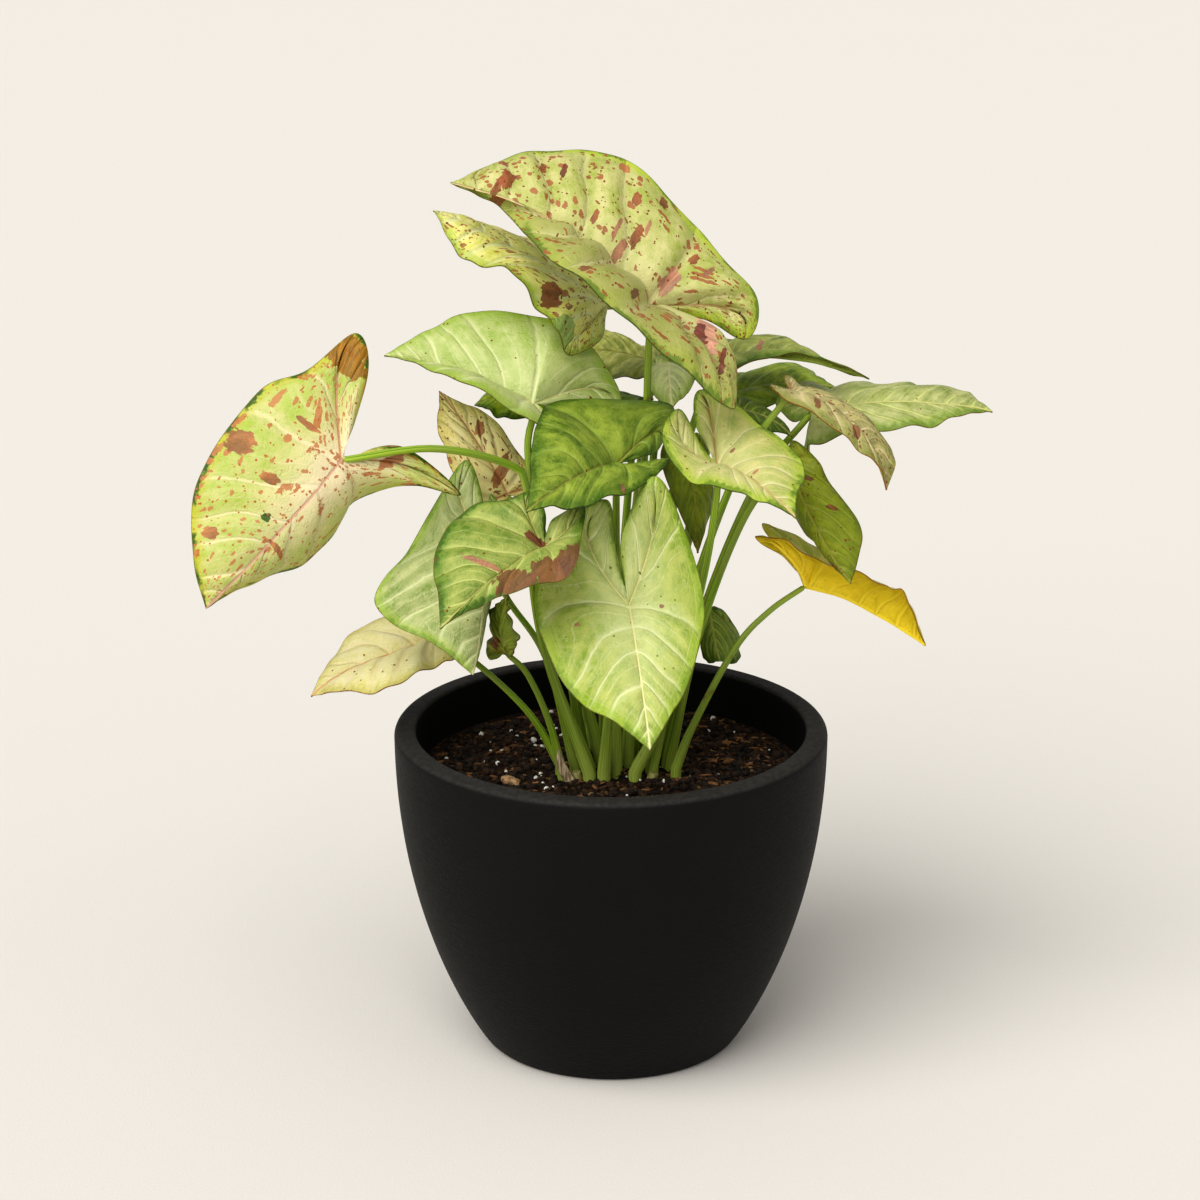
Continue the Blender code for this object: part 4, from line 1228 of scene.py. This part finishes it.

# %% [markdown]
# What a leaf then needs is short: its palette, its own light and dark green, and its marks. On the
# leaf behind the crest and on the bronze leaf, these greens are partly raised as painted light. A mark is
# the half it lies on, how far along and across that half its middle is, its half length along the
# side veins and its half width in millimetres, and its colour. A leaf may also change a few entries.

# %% Looks of the leaves
LEFT = 0
RIGHT = 1
LOOKS = {}


def paint(name, palette, light, dark, *marks, **changes):
    """Notes how one leaf looks."""
    look = {**SHARED, **PALETTES[palette], "light": light, "dark": dark, **changes}
    LOOKS[name] = (palette, look, marks)


# The crest's left entry lays a greyer, darker green over its near left half: partly that half's own duller
# tone and partly painted shade, because that half faces away from the light.
paint("crest", "cream", (206, 200, 138), (150, 166, 58), (RIGHT, 0.80, 0.29, 5, 3, BRICK),
      (RIGHT, 0.81, 0.12, 5, 1.6, BRICK), (RIGHT, 0.83, 0.69, 2.5, 2, BRICK),
      (RIGHT, 0.74, 0.61, 3.2, 1.6, BRICK), (RIGHT, 0.70, 0.59, 4, 1.3, DARK_RED),
      (RIGHT, 0.60, 0.90, 2.5, 2.6, TERRACOTTA), (RIGHT, 0.57, 0.66, 3.5, 2, BRICK),
      (RIGHT, 0.53, 0.86, 3.5, 2, RUST), (RIGHT, 0.55, 0.35, 6, 2, BRICK),
      (RIGHT, 0.62, 0.25, 3.5, 1.4, BRICK), (RIGHT, 0.56, 0.12, 6, 2, ROSE),
      (RIGHT, 0.58, 0.26, 6, 1, ROSE), (RIGHT, 0.54, 0.49, 4, 1, ROSE),
      (RIGHT, 0.45, 0.30, 7, 2.8, PALE_ROSE), (RIGHT, 0.44, 0.67, 3, 1.8, BRICK),
      (RIGHT, 0.41, 0.60, 3.5, 1.3, ROSE), (LEFT, 0.58, 0.84, 3, 2, BROWN_PINK),
      (LEFT, 0.50, 0.67, 4, 1.6, BROWN_PINK), (LEFT, 0.10, 0.34, 4, 11, PALE_ROSE),
      (LEFT, 0.10, 0.20, 2, 5, DARK_RED), (LEFT, 0.17, 0.26, 1.2, 7, DARK_RED), left=(142, 144, 72),
      fleck=(162, 94, 58), flecks=0.72, specks=0.7, rims=0.7, veins=0.3)
# The greens of the leaf behind the crest are raised to make up for the crest's shadow on it: partly its own
# pale green and partly painted light.
paint("behind_crest", "pale", (238, 230, 150), (198, 200, 60), (LEFT, 0.48, 0.79, 6, 5, BRICK),
      (LEFT, 0.32, 0.9, 8, 5, (146, 170, 96)), flecks=0.6, specks=0.6)
paint("far_left", "pale", (204, 200, 132), (160, 184, 62), (RIGHT, 0.53, 0.83, 6.5, 5, TERRACOTTA),
      (RIGHT, 0.17, 0.27, 5, 11, ORANGE_BROWN), (RIGHT, 0.18, 0.62, 4, 7, ORANGE_BROWN),
      (RIGHT, 0.57, 0.41, 4.5, 2.2, TERRACOTTA), (RIGHT, 0.43, 0.42, 6, 1.4, TERRACOTTA),
      (RIGHT, 0.71, 0.75, 3.5, 2.6, TERRACOTTA), (LEFT, 0.11, 0.12, 6, 1.8, TERRACOTTA),
      (LEFT, 0.68, 0.20, 5, 1.3, TERRACOTTA), (RIGHT, 0.64, 0.22, 2, 1.8, BOTTLE_GREEN),
      vein=(240, 222, 186), rib=(214, 168, 142), band=(184, 184, 38), rim=(44, 84, 10),
      fleck=(190, 124, 78), speck=(176, 102, 50), flecks=0.62, specks=0.75, rims=0.95, bands=0.8,
      heart=0.85, net=0.1, veins=0.5)
paint("pale_left", "pale", (196, 202, 138), (146, 172, 68), specks=0.12, veins=0.6, net=0.12, rims=0.1)
paint("dark_centre", "deep", (160, 176, 68), (58, 92, 4), (LEFT, 0.50, 0.89, 2, 1, ROSE))
paint("right_centre", "cream", (194, 188, 116), (134, 156, 48), (LEFT, 0.51, 0.25, 1.5, 1.2, ROSE),
      (LEFT, 0.64, 0.16, 1.5, 1, ROSE), band=(158, 180, 52), specks=0.12, rims=0.6, veins=0.6)
paint("long_right", "mid", (192, 192, 136), (104, 124, 36), band=(120, 150, 34), specks=0.2, rims=0.3)
paint("folded_right", "bronze", (176, 170, 104), (92, 98, 38), (RIGHT, 0.53, 0.64, 3.5, 1.3, BROWN_PINK),
      (RIGHT, 0.66, 0.57, 4, 1.5, BROWN_PINK), (RIGHT, 0.80, 0.50, 3, 1.5, BROWN_PINK),
      band=(110, 126, 40), fleck=BROWN_PINK, flecks=0.5, specks=0.5)
paint("upper_right", "mid", (186, 192, 92), (58, 86, 4), (LEFT, 0.57, 0.26, 8, 1.5, ROSE))
paint("back_right", "deep", (174, 190, 60), (56, 92, 4))
paint("back_strip", "deep", (70, 88, 12), (26, 46, 2))
paint("drooping_right", "olive", (148, 158, 24), (98, 116, 4), (RIGHT, 0.74, 0.96, 1.6, 9, RUST),
      (LEFT, 0.52, 0.30, 3, 1, RUST), (LEFT, 0.60, 0.55, 2.5, 1, RUST), specks=0.7)
paint("yellow", "yellow", (190, 192, 92), (142, 156, 34), under=(228, 200, 34))
paint("pink_patch", "mid", (168, 176, 90), (76, 114, 14), (LEFT, 0.57, 0.86, 7, 8, BROWN_PINK),
      (LEFT, 0.48, 0.86, 7, 9, BROWN_PINK), (LEFT, 0.41, 0.86, 6, 8, BROWN_PINK),
      (RIGHT, 0.44, 0.11, 5, 2, DARK_RED), (RIGHT, 0.63, 0.35, 9, 1.3, ROSE), veins=0.7)
paint("broad_left", "pale", (192, 196, 138), (118, 142, 58), veins=0.58, rims=0.5)
paint("low_left", "bronze", (234, 228, 186), (222, 214, 138), rib=(214, 164, 116), specks=0.1)
paint("curled", "olive", (120, 138, 20), (66, 84, 4), (LEFT, 0.45, 0.5, 3, 3, RUST))
paint("front", "pale", (188, 194, 108), (122, 150, 30), (RIGHT, 0.52, 0.62, 1.2, 1, ROSE),
      (LEFT, 0.47, 0.44, 1, 1, ROSE), rib=(226, 222, 166), speck=(120, 132, 34), specks=0.1, veins=0.62,
      net=0.22, rims=0.5, heart=0.5)
paint("small_right", "deep", (104, 120, 22), (44, 66, 2))
paint("behind_stems", "olive", (160, 174, 18), (94, 114, 2))
paint("back_centre", "olive", (214, 212, 126), (92, 108, 10))
paint("back_pale", "pale", (214, 222, 130), (98, 118, 20))
paint("shaded", "deep", (124, 150, 20), (48, 80, 2))
paint("back_left", "deep", (192, 210, 20), (84, 124, 2))
# The bronze leaf's greens are raised to nearly white: partly its own pale tan and partly painted light,
# standing in for light that shines through it in the shade of the leaf above.
paint("bronze", "bronze", (255, 246, 190), (255, 236, 146), (RIGHT, 0.53, 0.15, 9, 2.5, TERRACOTTA),
      (RIGHT, 0.66, 0.42, 4, 2, TERRACOTTA), flecks=0.35)
print(len(LOOKS), "looks")

# %% [markdown]
# The layers of a leaf lie as they grow: the flesh, mottled between two greens, then the pale tissue
# along the veins, the greener band at the edge, rusty flecks and specks, the leaf's own marks, and
# the thin dark line of the edge itself. On the crest, a greyer tone over the near left half and a
# weaker edge band there are partly its own duller tone and partly painted shade.

# %% Finish of a leaf
GLOW_SHARE = 0.45
FLECK_SHARE = 0.88
PATCH_CHANCE = 0.11
SPECK_CHANCE = 0.5
RIB_SHARE = 0.9
MARK_SHARE = 0.92
STAIN_RANGE = (0.8, 1.1)


def leaf_masks(material, seed):
    """The shared pattern, laid on one leaf."""
    return add_node(material.node_tree, "ShaderNodeGroup", {"node_tree": pattern_tree}, {"Seed": seed})


def mark_mask(material, leaf, mark):
    """The mask of one mark, turned to lie along the side veins."""
    side, along, across, long, wide, _ = mark
    station = along * STATIONS
    middle, outer = [
        leaf.flat_place(side, station, leaf.blade_point(side, station, place))
        for place in (across, across + 0.05)]
    turn = math.atan2(outer.y - middle.y, outer.x - middle.x)
    sources = {"Centre": middle, "Turn": turn, "Size": (long, wide, 1)}
    return add_node(material.node_tree, "ShaderNodeGroup", {"node_tree": mark_tree}, sources)["Mask"]


def leaf_finish(leaf, look, marks, seed):
    """The top of a leaf."""
    material = new_finish(leaf.name + " top")
    mask = leaf_masks(material, seed)
    tones = {part: colour(*value) for part, value in look.items() if isinstance(value, tuple)}
    tone = blend(mask["Streak"] * 0.45 + mask["Cloud"] * 0.55, tones["dark"], tones["light"])
    band = mask["Band"] * look["bands"]
    # Painted shade: where a leaf has a left entry, its left half is blended towards that greyer green and
    # its edge band is weakened, partly its own duller tone and partly painted shade.
    if "left" in look:
        tone = blend(mask["Left"] * 0.6, tone, tones["left"])
        band = band * (mask["Left"] * -0.7 + 1)
    layers = [
        (mask["Glow"] * (GLOW_SHARE * look["veins"]), "vein"), (mask["Heart"] * look["heart"], "vein"),
        (mask["Net"] * look["net"], "vein"), (mask["Veins"] * look["veins"], "vein"),
        (band, "band"), (mask["Rim"] * look["rims"], "rim")]
    for share, part in layers:
        tone = blend(share, tone, tones[part])
    if look["flecks"]:
        fleck = mask["Fleck"] > 1 - look["flecks"]
        fleck = fleck.larger(mask["Patch"] > 1 - PATCH_CHANCE * look["flecks"])
        rusty = blend(mask["Hue"], tones["speck"], tones["fleck"])
        tone = blend(fleck * FLECK_SHARE, tone, rusty)
    tone = blend(mask["Rib"] * RIB_SHARE, tone, tones["rib"])
    for mark in marks:
        darker, paler = [
            colour(*[min(255, strength * value) for value in mark[-1]]) for strength in STAIN_RANGE]
        stain = blend(mask["Streak"], darker, paler)
        tone = blend(mark_mask(material, leaf, mark) * MARK_SHARE, tone, stain)
    tone = blend(mask["Speck"] > 1 - SPECK_CHANCE * look["specks"], tone, tones["speck"])
    tone = blend(mask["Line"], tone, tones["line"])
    rough = mask["Cloud"] * 0.12 + 0.4
    return coat(material, tone, rough, height=mask["Height"], depth=0.0005, shine=0.3)


def underside_finish(leaf, look, seed):
    """The underside of a leaf, duller and plainer, with veins that stand out."""
    material = new_finish(leaf.name + " underside")
    mask = leaf_masks(material, seed)
    paler = colour(*[min(255, value + 26) for value in look["under"]])
    tone = blend(mask["Cloud"] * 0.5, colour(*look["under"]), paler)
    tone = blend(mask["Veins"] * 0.8, tone, paler)
    tone = blend(mask["Rib"], tone, paler)
    tone = blend(mask["Line"], tone, colour(*look["line"]))
    return coat(material, tone, rough=0.55, height=mask["Height"] * -1 + 1, depth=0.0007, shine=0.25)


# %% [markdown]
# All stems share one finish: fresh green skin with fine ribs that run lengthwise, paler at the foot.
# The second axis of their map runs round the stem, so noise that is stretched along the first axis
# gives the ribs.

# %% Finish of the stems


def stem_finish():
    """Ribbed green skin."""
    material = new_finish("stem skin")
    place = object_place(material)
    lengthwise = leaf_map(material.node_tree)
    ribs = grain(stretched(lengthwise, (1.2, 16, 1)), 1, 3)
    tone = blend(soft_step(ribs, 0.35, 0.65), colour(92, 132, 14), colour(176, 200, 66))
    dull = soft_step(grain(place, 38, 1), 0.42, 0.58)
    foot = soft_step(split(lengthwise)[0], 0.22, 0.02)
    brown = soft_step(grain(place, 90, 3), 0.66, 0.72)
    tone = blend(dull * 0.45, tone, colour(140, 152, 76))
    tone = blend(foot * 0.4, tone, colour(180, 190, 100))
    tone = blend(brown * 0.6, tone, colour(120, 92, 40))
    return coat(material, tone, rough=0.42, height=ribs, depth=0.0004, shine=0.3)


# %% [markdown]
# Now each leaf can be made: a blade and its stem in one piece, with a top and an underside of its
# own and the skin that all stems share. Where two faces meet at a sharp angle, the edge stays sharp.

# %% Leaves
SHARP_EDGE = math.radians(55)
SEED_STEP = 10

stem_skin = stem_finish()
for seed, (name, measures) in enumerate(LEAVES.items()):
    leaf = Leaf("leaf_" + name, measures)
    palette, look, marks = LOOKS[name]
    bm = blade_shape(leaf)
    roll_stem(bm, leaf)
    top = leaf_finish(leaf, look, marks, SEED_STEP * seed)
    underside = underside_finish(leaf, look, SEED_STEP * seed)
    piece = add_piece("blade_" + name, bm, [top, underside, stem_skin], leaf.name)
    piece.data.set_sharp_from_angle(angle=SHARP_EDGE)
